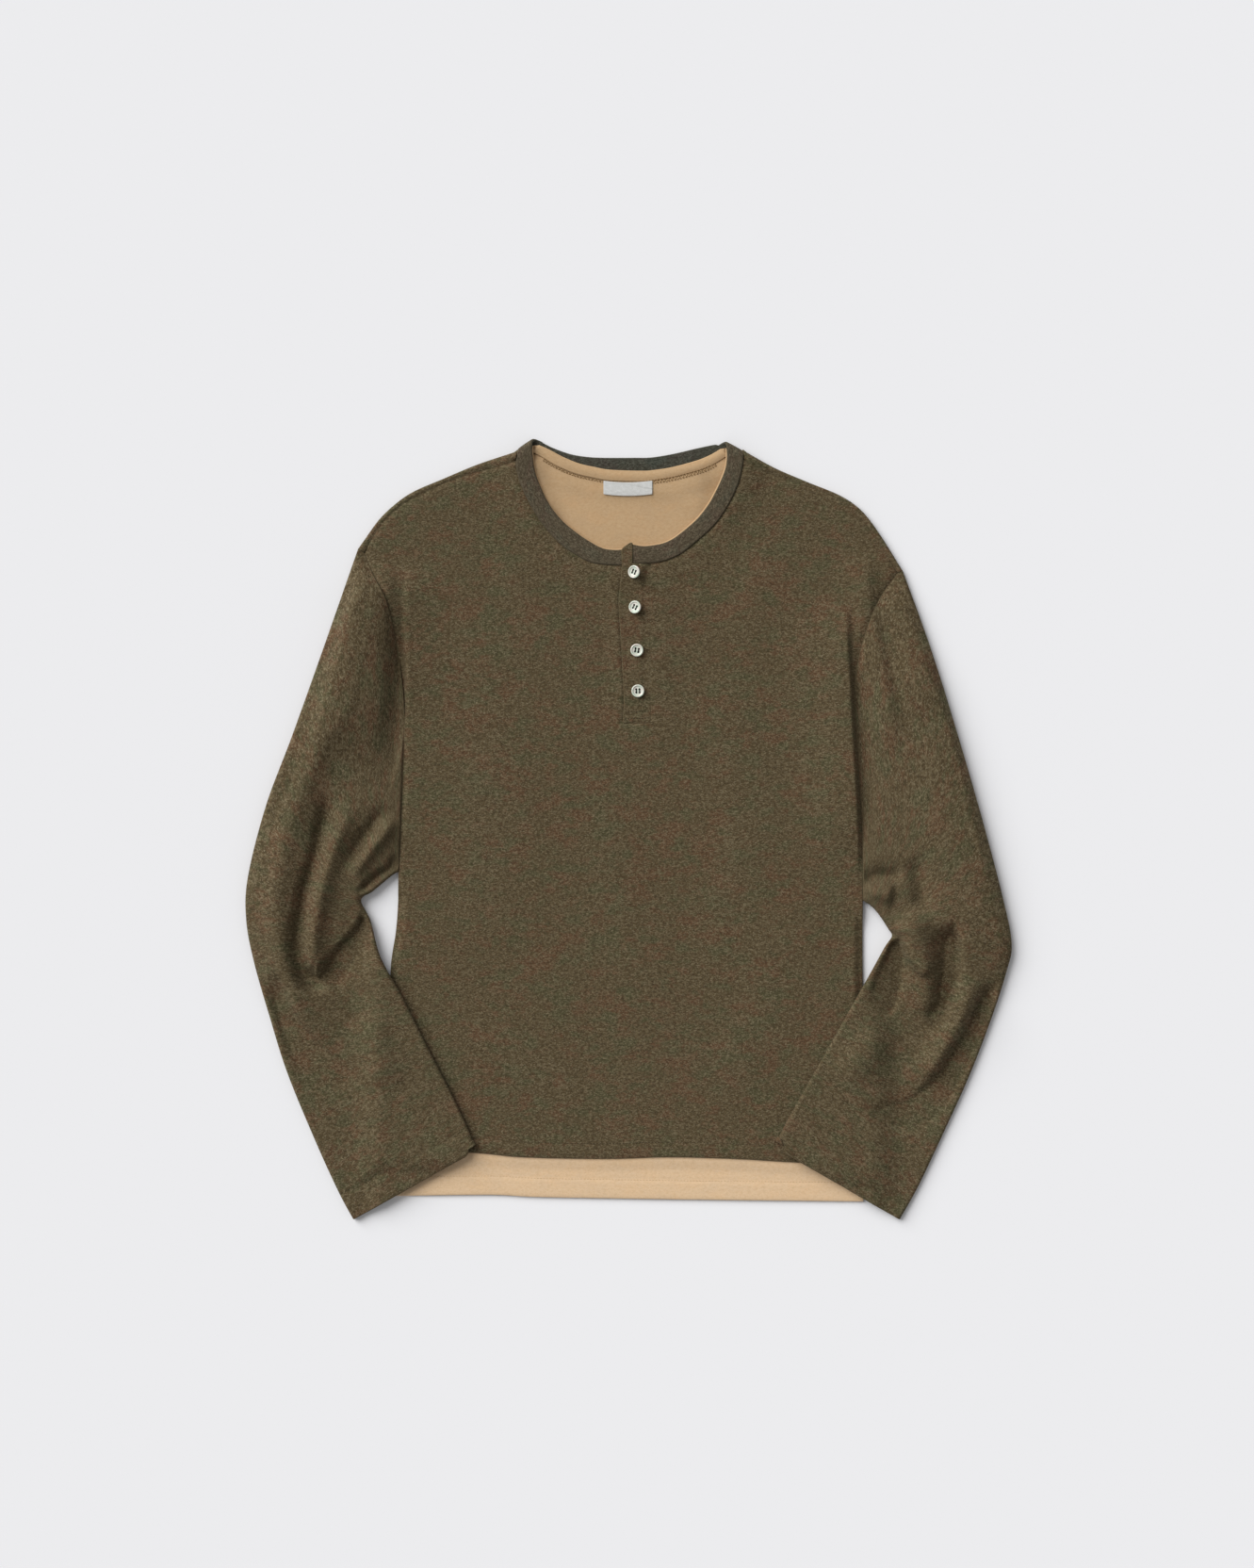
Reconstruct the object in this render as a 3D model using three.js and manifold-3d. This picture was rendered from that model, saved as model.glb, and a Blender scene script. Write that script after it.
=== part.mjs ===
// Layered henley shirt laid flat on its back, front up, with both sleeves bent in over the hem.
// Olive-brown jersey outside, a longer tan layer inside, a neckband, a four-button placket and a bare label.
// Millimetres. +Z is up and z = 0 is where the cloth rests, +Y points to the neck, +X to the wearer's left.
import * as THREE from "three";
import { mergeVertices } from "three/addons/utils/BufferGeometryUtils.js";
import Module from "manifold-3d";

const wasm = await Module();
wasm.setup();

// Cloth walls, and the clearance between neighbours at straight seams and along curved ones
const CLOTH = 1.5;
const LINING = 1.2;
const GAP = 0.3;
const CURVE_GAP = 0.8;
const ARMHOLE_GAP = 1.2;

// Heights of the stacked layers, from the back panel up
const INNER_BACK_BOTTOM = CLOTH + GAP;
const INNER_FRONT_BOTTOM = INNER_BACK_BOTTOM + LINING + GAP;
const FRONT_BOTTOM = INNER_FRONT_BOTTOM + LINING + GAP;
const FRONT_TOP = FRONT_BOTTOM + CLOTH;

// Neckbands: the outer one is folded double, the inner one is narrower
const BAND_THICKNESS = 2.8;
const BAND_BACK_HEIGHT = 1.4;
const BAND_FRONT_HEIGHT = 7.4;
const BAND_SHOULDER_RISE = 1.7;
const INNER_BAND_WIDTH = 10;
const INNER_BAND_THICKNESS = 1.8;
const INNER_BAND_BACK_HEIGHT = 4.1;
const INNER_BAND_FRONT_HEIGHT = 4.6;
const INNER_BAND_SHOULDER_RISE = 1.8;
const INNER_BAND_PEEK = 1;
const BAND_RISE_FROM = 260;
const BAND_RISE_TO = 335;

// How far round the neck the panels are lifted by the bands, and how far the side seams roll down
const NECK_LIFT_REACH = 30;
const INNER_LIFT_REACH = 16;
const INNER_BACK_LIFT = 1.5;
const SIDE_ROLL = 8;
const SIDE_DROP = FRONT_BOTTOM - CLOTH - GAP;
const INNER_INSET = 11;
const INNER_SHOULDER_INSET = 12;
const INNER_BACK_NECK_GAP = 1.6;
const INNER_FRONT_NECK_GAP = 2.4;

// Placket, buttons and label
const PLACKET_RIGHT = 19.1;
const PLACKET_BOTTOM = 96;
const WINDOW_LEFT = -3;
const WINDOW_RIGHT = PLACKET_RIGHT + GAP;
const WINDOW_BOTTOM = 104;
const WINDOW_TOP = 270;
const BAND_END = 3.1;
const NECK_EDGE = 238;
const LOWER_PLACKET_WIDTH = 14;
const BUTTON_DIAMETER = 11.6;
const BUTTON_THICKNESS = 2.6;
const BUTTON_HOLE = 1.7;
const BUTTON_HOLE_REACH = 1.45;
const LABEL_THICKNESS = 0.8;

// Sleeve seat on the body: its height over the shirt, over the tan hem alone, and how far it slopes off
const SEAT_ON_SHIRT = 7.2;
const SEAT_ON_TAN = 3.8;
const SEAT_OVERHANG = 5;
const SEAT_SLOPE = 31;

const flat = (...rows) => rows.map(([x, y]) => new THREE.Vector2(x, y));

// Armholes from the end of the shoulder seam down to the underarm: x, y
const ARMHOLE_RIGHT = flat(
  [-238.4, 249.6], [-229, 228], [-215.5, 200], [-206, 147],
  [-202, 102], [-203, 55], [-205, 5], [-207, -38],
);
const ARMHOLE_LEFT = flat(
  [242.2, 231.2], [224, 205], [208, 161.5], [202.5, 119],
  [205, 80], [208.5, 25], [210, -20], [210, -64],
);

// Side seams from the underarm down to the olive hem: x, y
const SIDE_RIGHT = flat([-207, -38], [-207.5, -68], [-209.5, -93], [-214, -125], [-215.5, -187], [-216.5, -289]);
const SIDE_LEFT = flat([210, -64], [210, -136], [211, -235], [212, -302]);

// Hem lines from the wearer's right to left: x, y
const OLIVE_HEM = flat(
  [-216.5, -289], [-140, -290.7], [-96, -294.5], [-22, -296], [36, -294.5], [95, -296], [146, -299], [212, -302],
);
const TAN_HEM = flat([-215, -330], [-125, -329], [-81, -331], [36, -333], [120, -334], [211, -335]);

// Shoulders from the neck to the tip: outline x and y, and how far in from it the seam lies on the front
const SHOULDER_RIGHT = [
  [-104.8, 339, 8], [-135.6, 329, 5.6], [-168, 315.5, 4.2], [-198.5, 301.8, 5.6],
  [-222.3, 282.2, 4.4], [-237.6, 261.8, 4.4], [-243.5, 253.3, 6],
];
const SHOULDER_LEFT = [
  [107.8, 338.4, 7.5], [131.3, 325.6, 4.7], [161.1, 312.8, 3.6], [190, 300.9, 4.3],
  [209.5, 287.3, 4.9], [226.5, 265.2, 4.4], [246.1, 233.8, 4.4],
];

// Front neckband from the neck point down to the placket: its seam and its free edge, x, y
const SEAM_RIGHT = flat(
  [-101.6, 327.3], [-97.4, 310.3], [-88, 290.7], [-77, 273.7], [-61.7, 256.7], [-48.1, 247.4],
  [-35.3, 240.6], [-20, 238], [-5.2, 237.4],
);
const FREE_RIGHT = flat(
  [-86.5, 338], [-83.7, 319.6], [-76.1, 300.9], [-62.5, 279.7], [-45.5, 262.7], [-28.5, 252.5],
  [-17.4, 248.6], [-5.8, 249.1],
);
const SEAM_LEFT = flat(
  [102.4, 327.3], [98.2, 310.3], [88.8, 290.7], [77.8, 273.7], [62.5, 256.7], [48.9, 247.4],
  [36.1, 240.6], [20.8, 238], [BAND_END, 238],
);
const FREE_LEFT = flat(
  [87.1, 334.9], [85.4, 321.3], [79.5, 306], [68.4, 285.6], [53.1, 266.1], [36.1, 256.7],
  [24.2, 252.5], [13.2, 251.8], [BAND_END, 252.5],
);

// Back neckbands from the wearer's right to left: seam and free edge of the olive one, free edge of the tan one
const BACK_SEAM = flat(
  [-90, 334.6], [-73, 328.6], [-57, 323.8], [-41, 321], [-24, 320], [6, 320], [22, 320.5], [43, 323.5],
  [66, 329], [84, 334],
);
const BACK_FREE = flat(
  [-77, 348], [-67.6, 343.4], [-53.1, 338.3], [-38.7, 335.8], [-23.4, 334.9], [5.5, 334.9], [20, 335.2],
  [39.5, 338.3], [61.6, 343.4], [77, 346.6],
);
const TAN_BACK_FREE = flat(
  [-71, 341.7], [-59.9, 335.8], [-45.5, 329.8], [-31, 326.4], [-16.6, 323.9], [10.6, 323], [22, 323.6],
  [39.5, 326.4], [61.6, 332.4], [74, 337.6],
);

// Where the neckband turns over each shoulder: its seam and free edge on the outline, and the slant of its run
const TURN_RIGHT = { seam: new THREE.Vector2(-99.9, 342.6), free: new THREE.Vector2(-86.3, 351.9), slant: 33 };
const TURN_LEFT = { seam: new THREE.Vector2(102.4, 340.9), free: new THREE.Vector2(87.1, 349.4), slant: 29 };

// Upper placket from its lower end up: y, left edge, right edge
const PLACKET_ROWS = [
  [PLACKET_BOTTOM, -4.2, PLACKET_RIGHT], [101, -4.7, PLACKET_RIGHT], [115, -3.8, PLACKET_RIGHT],
  [135, -4.7, PLACKET_RIGHT], [159, -5.9, PLACKET_RIGHT], [179.5, -7.2, PLACKET_RIGHT],
  [204, -8.9, PLACKET_RIGHT], [220, -7.3, PLACKET_RIGHT], [228, -6.3, PLACKET_RIGHT],
  [NECK_EDGE - 0.8, -4.9, PLACKET_RIGHT], [NECK_EDGE - 0.4, -4.7, BAND_END - GAP],
  [247, -3.2, BAND_END - GAP], [254, -2.1, BAND_END - GAP], [256.8, -0.4, BAND_END - GAP - 0.6],
];

// Buttons from the neck down: x, y, tilt about Y and turn of the four holes, in degrees
const BUTTONS = [
  [4.7, 231.4, 28, 10],
  [5.5, 199.8, 22, 48],
  [7.2, 161.1, 2, 20],
  [8.1, 124.5, 3, 65],
];

// Sleeve stations from the armhole to the cuff: outer edge x, y, inner edge x, y, and height of the flattened tube
const SLEEVE_RIGHT = [
  [-244, 252.9, -207.4, -38.2, 6.3], [-275.8, 161.5, -212.4, -41, 7.6], [-303, 85, -220.6, -47.6, 8.2],
  [-326.8, 21.3, -230.8, -56.1, 8.6], [-343, -42.5, -241, -63.8, 8.8], [-344.7, -80.8, -240.1, -76.5, 8],
  [-337.9, -119, -223.1, -114.8, 7.2], [-323.4, -170, -203.6, -150.5, 6.4], [-307.3, -221, -183.2, -191.3, 6],
  [-280.9, -284.8, -159.4, -238, 5.8], [-261.4, -327.3, -144.9, -268.6, 5.8], [-248.6, -351.1, -137.3, -288.2, 5.8],
];
const SLEEVE_LEFT = [
  [246.6, 233.4, 210.4, -64.2, 6.3], [272.4, 161.5, 213.2, -65.8, 7.6], [296.2, 85, 218, -68.9, 8.2],
  [318.3, 8.5, 224.8, -76.5, 8.6], [336.2, -59.5, 233.3, -89.3, 8.8], [344.7, -102, 236.7, -96, 8],
  [340.4, -127.5, 229.9, -106.3, 7.2], [326.8, -170, 214.6, -133.5, 6.4], [307.3, -221, 191.7, -174.3, 6],
  [284.3, -272, 165.3, -221, 5.8], [261.4, -320.5, 142.4, -261.8, 5.8], [244.4, -351.1, 130.5, -284.8, 5.8],
];
const ELBOW_STATION = 5;

// Creases of each sleeve: height (troughs are negative), half width, and the line they follow
const CREASES_RIGHT = [
  { height: 3, width: 17, line: flat([-238, 236], [-251, 174], [-278, 89], [-304, 4], [-317, -70], [-306, -145], [-287, -191]) },
  { height: -2.4, width: 12, line: flat([-266, 68], [-287, -17], [-298, -81], [-295, -123], [-285, -142]) },
  { height: 3.6, width: 14, line: flat([-240, 68], [-266, -4], [-278, -60], [-283, -115], [-284, -140]) },
  { height: -3.6, width: 10, line: flat([-243, -80], [-261, -102], [-277, -132]) },
  { height: -2.2, width: 12, line: flat([-215, 42], [-227, 13], [-261, -34]) },
  { height: 2.6, width: 10, line: flat([-212, 0], [-240, -38], [-261, -60]) },
  { height: -1.6, width: 14, line: flat([-262, -205], [-248, -228], [-236, -244]) },
];
const CREASES_LEFT = [
  { height: 2.2, width: 22, line: flat([252, 190], [285, 60], [312, -40]) },
  { height: -1.8, width: 12, line: flat([224, 225], [229, 195], [236, 153], [246, 104]) },
  { height: 3.8, width: 16, line: flat([262, 30], [268, -17], [262, -85], [268, -136], [274, -174]) },
  { height: -3.2, width: 10, line: flat([300, -84], [297, -112], [289, -150], [276, -178]) },
  { height: -3.2, width: 9, line: flat([238, -98], [240, -119], [245, -146]) },
  { height: -1.9, width: 12, line: flat([330, -146], [308, -187], [283, -230], [261, -255], [231, -261], [178, -268]) },
  { height: 2.2, width: 12, line: flat([300, -183], [280, -206], [257, -230]) },
];

const clamp01 = (value) => Math.min(1, Math.max(0, value));

// Soft step from 0 at one edge to 1 at the other
function softStep(value, from, to) {
  const t = clamp01((value - from) / (to - from));
  return t * t * (3 - 2 * t);
}

// Smooth line through a table's points, taken at equal steps of its length
function smoothLine(points, steps) {
  const curve = new THREE.SplineCurve(points);
  curve.arcLengthDivisions = 400;
  return curve.getSpacedPoints(steps);
}

// Point at a share of a polyline's length
function pointAlong(line, share) {
  const lengths = [0];
  for (let i = 1; i < line.length; i++) lengths.push(lengths[i - 1] + line[i].distanceTo(line[i - 1]));
  const target = clamp01(share) * lengths.at(-1);
  let i = 1;
  while (i < line.length - 1 && lengths[i] < target) i++;
  const t = (target - lengths[i - 1]) / (lengths[i] - lengths[i - 1]);
  return line[i - 1].clone().lerp(line[i], t);
}

// Nearest distance from a place to a polyline, and the share of the line's length where it is
function nearest(x, y, line) {
  let best = Infinity;
  let share = 0;
  for (let i = 1; i < line.length; i++) {
    const a = line[i - 1];
    const b = line[i];
    const t = clamp01(
      ((x - a.x) * (b.x - a.x) + (y - a.y) * (b.y - a.y)) / Math.max(1e-9, a.distanceToSquared(b)),
    );
    const distance = Math.hypot(x - a.x - t * (b.x - a.x), y - a.y - t * (b.y - a.y));
    if (distance < best) {
      best = distance;
      share = (i - 1 + t) / (line.length - 1);
    }
  }
  return { distance: best, share };
}

// Line moved sideways: positive to the left of its run
function offsetLine(line, distance) {
  return line.map((point, i) => {
    const before = line[Math.max(0, i - 1)];
    const after = line[Math.min(line.length - 1, i + 1)];
    const run = after.clone().sub(before).normalize();
    return new THREE.Vector2(point.x - run.y * distance, point.y + run.x * distance);
  });
}

// Value of a table's second column at a given first column, between rows
function between(rows, at) {
  let i = 1;
  while (i < rows.length - 1 && rows[i][0] < at) i++;
  const t = clamp01((at - rows[i - 1][0]) / (rows[i][0] - rows[i - 1][0]));
  return rows[i - 1][1] + t * (rows[i][1] - rows[i - 1][1]);
}

const heightAtX = (line) => {
  const rows = line.map((p) => [p.x, p.y]);
  return (x) => between(rows, x);
};
const placeAtY = (...lines) => {
  const rows = lines.flat().map((p) => [p.y, p.x]).sort((a, b) => a[0] - b[0]);
  return (y) => between(rows, y);
};
const bodyRightX = placeAtY(smoothLine(ARMHOLE_RIGHT, 20), smoothLine(SIDE_RIGHT, 20).slice(1));
const bodyLeftX = placeAtY(smoothLine(ARMHOLE_LEFT, 20), smoothLine(SIDE_LEFT, 20).slice(1));
const oliveHemY = heightAtX(OLIVE_HEM);
const tanHemY = heightAtX(TAN_HEM);

// Neck seam of the front, from the wearer's right shoulder round to the left
const neckSeam = [...smoothLine(SEAM_RIGHT, 24), ...smoothLine(SEAM_LEFT, 24).reverse()];
const tanNeckSeam = [];

// Rise of the bands toward the shoulders
const bandRise = (y) => softStep(y, BAND_RISE_FROM, BAND_RISE_TO);

// Top of the olive front: lifted round the neck, rolled down to the back at the side seams
function frontTop(x, y) {
  const edge = BAND_FRONT_HEIGHT - 0.2 + CLOTH / 2 - FRONT_TOP + BAND_SHOULDER_RISE * bandRise(y);
  const lift = edge * (1 - softStep(nearest(x, y, neckSeam).distance, 0, NECK_LIFT_REACH));
  const fromSide = Math.min(x - bodyRightX(y), bodyLeftX(y) - x);
  const underarm = x < 0 ? ARMHOLE_RIGHT.at(-1).y : ARMHOLE_LEFT.at(-1).y;
  const alongSide = 1 - softStep(y, underarm - 30, underarm - 5);
  const roll = SIDE_DROP * alongSide * (1 - softStep(fromSide, 0, SIDE_ROLL));
  return FRONT_TOP + lift - roll;
}

// Drop of the tan layer past the olive hem, down to whatever it then lies on
const tanDrop = (x, y) => INNER_BACK_BOTTOM * softStep(oliveHemY(x) - y, 2, 14);

function innerFrontTop(x, y) {
  const edge = INNER_BAND_FRONT_HEIGHT - LINING - INNER_FRONT_BOTTOM + INNER_BAND_SHOULDER_RISE * bandRise(y);
  const lift = edge * (1 - softStep(nearest(x, y, tanNeckSeam).distance, 0, INNER_LIFT_REACH));
  return INNER_FRONT_BOTTOM + LINING + lift - tanDrop(x, y);
}

function innerBackTop(x, y) {
  const lift = INNER_BACK_LIFT * (1 - softStep(nearest(x, y, tanBackSeam).distance, 8, 22));
  return INNER_BACK_BOTTOM + LINING + lift - tanDrop(x, y);
}

// Closed solid from vertices and triangles, with its faces turned outward
function closedGeometry(vertices, triangles) {
  let volume = 0;
  for (const [a, b, c] of triangles) volume += vertices[a].dot(vertices[b].clone().cross(vertices[c]));
  const index = triangles.flatMap(([a, b, c]) => (volume < 0 ? [a, c, b] : [a, b, c]));
  const geometry = new THREE.BufferGeometry();
  geometry.setAttribute("position", new THREE.Float32BufferAttribute(vertices.flatMap((v) => v.toArray()), 3));
  geometry.setIndex(index);
  return geometry;
}

// Wall of cloth over a grid of places, each with its top and bottom
function wallGeometry(rows) {
  const across = rows[0].length;
  const vertices = [];
  for (const row of rows) for (const p of row) vertices.push(new THREE.Vector3(p.x, p.y, p.top));
  for (const row of rows) for (const p of row) vertices.push(new THREE.Vector3(p.x, p.y, p.bottom));
  const top = (i, j) => i * across + j;
  const bottom = (i, j) => rows.length * across + top(i, j);
  const triangles = [];
  const quad = (a, b, c, d) => triangles.push([a, b, c], [a, c, d]);
  for (let i = 0; i < rows.length - 1; i++) {
    for (let j = 0; j < across - 1; j++) {
      quad(top(i, j), top(i, j + 1), top(i + 1, j + 1), top(i + 1, j));
      quad(bottom(i, j), bottom(i + 1, j), bottom(i + 1, j + 1), bottom(i, j + 1));
    }
    quad(top(i, 0), top(i + 1, 0), bottom(i + 1, 0), bottom(i, 0));
    quad(top(i + 1, across - 1), top(i, across - 1), bottom(i, across - 1), bottom(i + 1, across - 1));
  }
  for (let j = 0; j < across - 1; j++) {
    const last = rows.length - 1;
    quad(top(0, j + 1), top(0, j), bottom(0, j), bottom(0, j + 1));
    quad(top(last, j), top(last, j + 1), bottom(last, j + 1), bottom(last, j));
  }
  return closedGeometry(vertices, triangles);
}

// Solid through a run of loops; a ring joins its last loop to its first, otherwise both ends are capped
function loftGeometry(loops, ring = false) {
  const around = loops[0].length;
  const vertices = loops.flat();
  const triangles = [];
  const at = (i, j) => (i % loops.length) * around + (j % around);
  const spans = ring ? loops.length : loops.length - 1;
  for (let i = 0; i < spans; i++) {
    for (let j = 0; j < around; j++) {
      triangles.push([at(i, j), at(i, j + 1), at(i + 1, j + 1)], [at(i, j), at(i + 1, j + 1), at(i + 1, j)]);
    }
  }
  if (!ring) {
    const last = loops.length - 1;
    const half = around / 2;
    for (let j = 0; j < half - 1; j++) {
      const quad = [j, j + 1, around - 2 - j, around - 1 - j];
      triangles.push([quad[2], quad[1], quad[0]], [quad[3], quad[2], quad[0]]);
      const far = quad.map((k) => at(last, k));
      triangles.push([far[0], far[1], far[2]], [far[0], far[2], far[3]]);
    }
  }
  return closedGeometry(vertices, triangles);
}

// Tube wall between outer and inner loops, open at both ends
function tubeWallGeometry(outer, inner) {
  const around = outer[0].length;
  const vertices = [...outer.flat(), ...inner.flat()];
  const triangles = [];
  const out = (i, j) => i * around + (j % around);
  const into = (i, j) => outer.length * around + out(i, j);
  const quad = (a, b, c, d) => triangles.push([a, b, c], [a, c, d]);
  const last = outer.length - 1;
  for (let j = 0; j < around; j++) {
    for (let i = 0; i < last; i++) {
      quad(out(i, j), out(i, j + 1), out(i + 1, j + 1), out(i + 1, j));
      quad(into(i, j), into(i + 1, j), into(i + 1, j + 1), into(i, j + 1));
    }
    quad(out(0, j + 1), out(0, j), into(0, j), into(0, j + 1));
    quad(out(last, j), out(last, j + 1), into(last, j + 1), into(last, j));
  }
  return closedGeometry(vertices, triangles);
}

// Exact solid of a geometry, and back again
function solidOf(geometry) {
  const bare = new THREE.BufferGeometry().setAttribute("position", geometry.getAttribute("position"));
  if (geometry.index) bare.setIndex(geometry.index);
  const merged = mergeVertices(bare, 1e-4);
  return new wasm.Manifold(
    new wasm.Mesh({
      numProp: 3,
      vertProperties: merged.attributes.position.array,
      triVerts: new Uint32Array(merged.index.array),
    }),
  );
}

function geometryOf(solid) {
  const mesh = solid.getMesh();
  const geometry = new THREE.BufferGeometry();
  geometry.setAttribute("position", new THREE.BufferAttribute(mesh.vertProperties, 3));
  geometry.setIndex(new THREE.BufferAttribute(mesh.triVerts, 1));
  return geometry;
}

// Panel between four edges: hem and top run from the wearer's right to left, both sides run upward.
// Columns run straight from hem to top, and those near a side bend with it.
function panelRows(edges, columns, rowShares, topAt, thickness) {
  const SIDE_REACH = 0.33;
  const hemLine = columns.map((u) => pointAlong(edges.hem, u));
  const straight = (j, v) => hemLine[j].clone().lerp(edges.top[j], v);
  return rowShares.map((v) => {
    const rightBend = pointAlong(edges.right, v).sub(straight(0, v));
    const leftBend = pointAlong(edges.left, v).sub(straight(columns.length - 1, v));
    return columns.map((u, j) => {
      const { x, y } = straight(j, v)
        .addScaledVector(rightBend, 1 - softStep(u, 0, SIDE_REACH))
        .addScaledVector(leftBend, 1 - softStep(1 - u, 0, SIDE_REACH));
      const height = topAt(x, y);
      return { x, y, top: height, bottom: height - thickness };
    });
  });
}

// Columns of a panel, as shares of its width: each shoulder's, and even ones across the neck
const NECK_FROM = 0.265;
function panelColumns(shoulder, neckSteps) {
  const neck = Array.from({ length: neckSteps - 1 }, (_, i) => NECK_FROM + ((i + 1) / neckSteps) * (1 - 2 * NECK_FROM));
  return [...shoulder, NECK_FROM, ...neck, 1 - NECK_FROM, ...shoulder.map((u) => 1 - u).reverse()];
}
const evenShares = (steps) => Array.from({ length: steps + 1 }, (_, i) => i / steps);

// Top edge with one point for each column: a shoulder, the neck and the other shoulder
function topEdge(columns, rightShoulder, neck, leftShoulder) {
  return columns.map((u) => {
    if (u < NECK_FROM) return pointAlong(rightShoulder, u / NECK_FROM);
    if (u > 1 - NECK_FROM) return pointAlong(leftShoulder, (1 - u) / NECK_FROM);
    return pointAlong(neck, (u - NECK_FROM) / (1 - 2 * NECK_FROM));
  });
}

// Shoulder stations: outline point, outward direction and seam distance, from the neck to the tip
function shoulderStations(table, steps) {
  const line = smoothLine(flat(...table), steps);
  const outward = Math.sign(table[0][0]);
  return line.map((point, i) => {
    const run = line[Math.min(steps, i + 1)].clone().sub(line[Math.max(0, i - 1)]).normalize();
    const out = new THREE.Vector2(-run.y * outward, run.x * outward);
    const place = (i / steps) * (table.length - 1);
    const row = Math.min(table.length - 2, Math.floor(place));
    const seam = THREE.MathUtils.lerp(table[row][2], table[row + 1][2], place - row);
    return { point, out, seam };
  });
}
const SHOULDER_STEPS = 8;
const rightStations = shoulderStations(SHOULDER_RIGHT, SHOULDER_STEPS);
const leftStations = shoulderStations(SHOULDER_LEFT, SHOULDER_STEPS);

// Line inside a shoulder's outline, at a distance that may differ from station to station
const insideShoulder = (stations, distance) =>
  stations.map((s) => s.point.clone().addScaledVector(s.out, -distance(s)));

// Middle line of the shoulder roll: the back panel turns over it from the floor to the front's height
function rollRadius(station) {
  const seam = station.point.clone().addScaledVector(station.out, -station.seam - GAP);
  return (frontTop(seam.x, seam.y) - CLOTH) / 2;
}

// Strip of the back panel that rolls over a shoulder and ends at the seam on the front
function shoulderRoll(stations) {
  const ARC_STEPS = 6;
  const OVERLAP = 2;
  const loops = stations.map((station) => {
    const radius = rollRadius(station);
    const centre = radius + CLOTH / 2;
    const section = [];
    const add = (inward, height) => {
      const place = station.point.clone().addScaledVector(station.out, -inward);
      section.push(new THREE.Vector3(place.x, place.y, height));
    };
    const side = (reach, thin, back) => {
      const arc = Array.from({ length: ARC_STEPS + 1 }, (_, i) => {
        const angle = (i / ARC_STEPS - 0.5) * Math.PI;
        return [centre - reach * Math.cos(angle), centre + reach * Math.sin(angle)];
      });
      const run = [[centre + OVERLAP, thin], ...arc, [Math.max(station.seam, centre + 0.2), arc.at(-1)[1]]];
      for (const [inward, height] of back ? run.reverse() : run) add(inward, height);
    };
    side(radius + CLOTH / 2, CLOTH * 0.3, false);
    side(radius - CLOTH / 2, CLOTH * 0.7, true);
    return section;
  });
  return loftGeometry(loops);
}

// Side of a panel from the hem up: the side seam, the armhole and the end of the shoulder
const sideEdge = (side, armhole, shoulderEnd) => [
  ...smoothLine(side, 14).reverse(),
  ...smoothLine(armhole, 20).reverse().slice(1),
  shoulderEnd,
];

// Front: shoulders end at their seams, the neck at the band, and a window takes the placket
function makeFront() {
  const FRONT_ROWS = [...evenShares(15).slice(0, -1), 0.965, 1];
  const columns = panelColumns([0, 0.009, 0.0205, 0.07, 0.13, 0.2], 18);
  const shoulder = (stations) => insideShoulder(stations, (s) => s.seam + CURVE_GAP).reverse();
  const rightShoulder = shoulder(rightStations);
  const leftShoulder = shoulder(leftStations);
  const neckRight = offsetLine(smoothLine([rightShoulder.at(-1), ...SEAM_RIGHT], 24), -CURVE_GAP);
  const neckLeft = offsetLine(smoothLine([leftShoulder.at(-1), ...SEAM_LEFT], 24), CURVE_GAP);
  const edges = {
    hem: OLIVE_HEM,
    top: topEdge(columns, rightShoulder, [...neckRight, ...neckLeft.reverse()], leftShoulder),
    right: sideEdge(SIDE_RIGHT, ARMHOLE_RIGHT, rightShoulder[0]),
    left: sideEdge(SIDE_LEFT, ARMHOLE_LEFT, leftShoulder[0]),
  };
  const wall = wallGeometry(panelRows(edges, columns, FRONT_ROWS, frontTop, CLOTH));
  const window = new THREE.BoxGeometry(WINDOW_RIGHT - WINDOW_LEFT, WINDOW_TOP - WINDOW_BOTTOM, 30);
  window.translate((WINDOW_LEFT + WINDOW_RIGHT) / 2, (WINDOW_TOP + WINDOW_BOTTOM) / 2, FRONT_BOTTOM);
  return geometryOf(solidOf(wall).subtract(solidOf(window)));
}

// Back: flat on the floor, with a roll over each shoulder
function makeBack() {
  const BACK_ROWS = [...evenShares(12).slice(0, -1), 0.97, 1];
  const columns = panelColumns([0, 0.07, 0.16], 10);
  const shoulder = (stations) => insideShoulder(stations, (s) => rollRadius(s) + CLOTH / 2).reverse();
  const rightShoulder = shoulder(rightStations);
  const leftShoulder = shoulder(leftStations);
  const neck = offsetLine(smoothLine([rightShoulder.at(-1), ...BACK_SEAM, leftShoulder.at(-1)], 40), -CURVE_GAP);
  const edges = {
    hem: OLIVE_HEM,
    top: topEdge(columns, rightShoulder, neck, leftShoulder),
    right: sideEdge(SIDE_RIGHT, offsetLine(ARMHOLE_RIGHT, CURVE_GAP), rightShoulder[0]),
    left: sideEdge(SIDE_LEFT, offsetLine(ARMHOLE_LEFT, -CURVE_GAP), leftShoulder[0]),
  };
  const wall = solidOf(wallGeometry(panelRows(edges, columns, BACK_ROWS, () => CLOTH, CLOTH)));
  const rolls = [rightStations, leftStations].map((stations) => solidOf(shoulderRoll(stations)));
  return geometryOf(wall.add(rolls[0]).add(rolls[1]));
}

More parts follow.
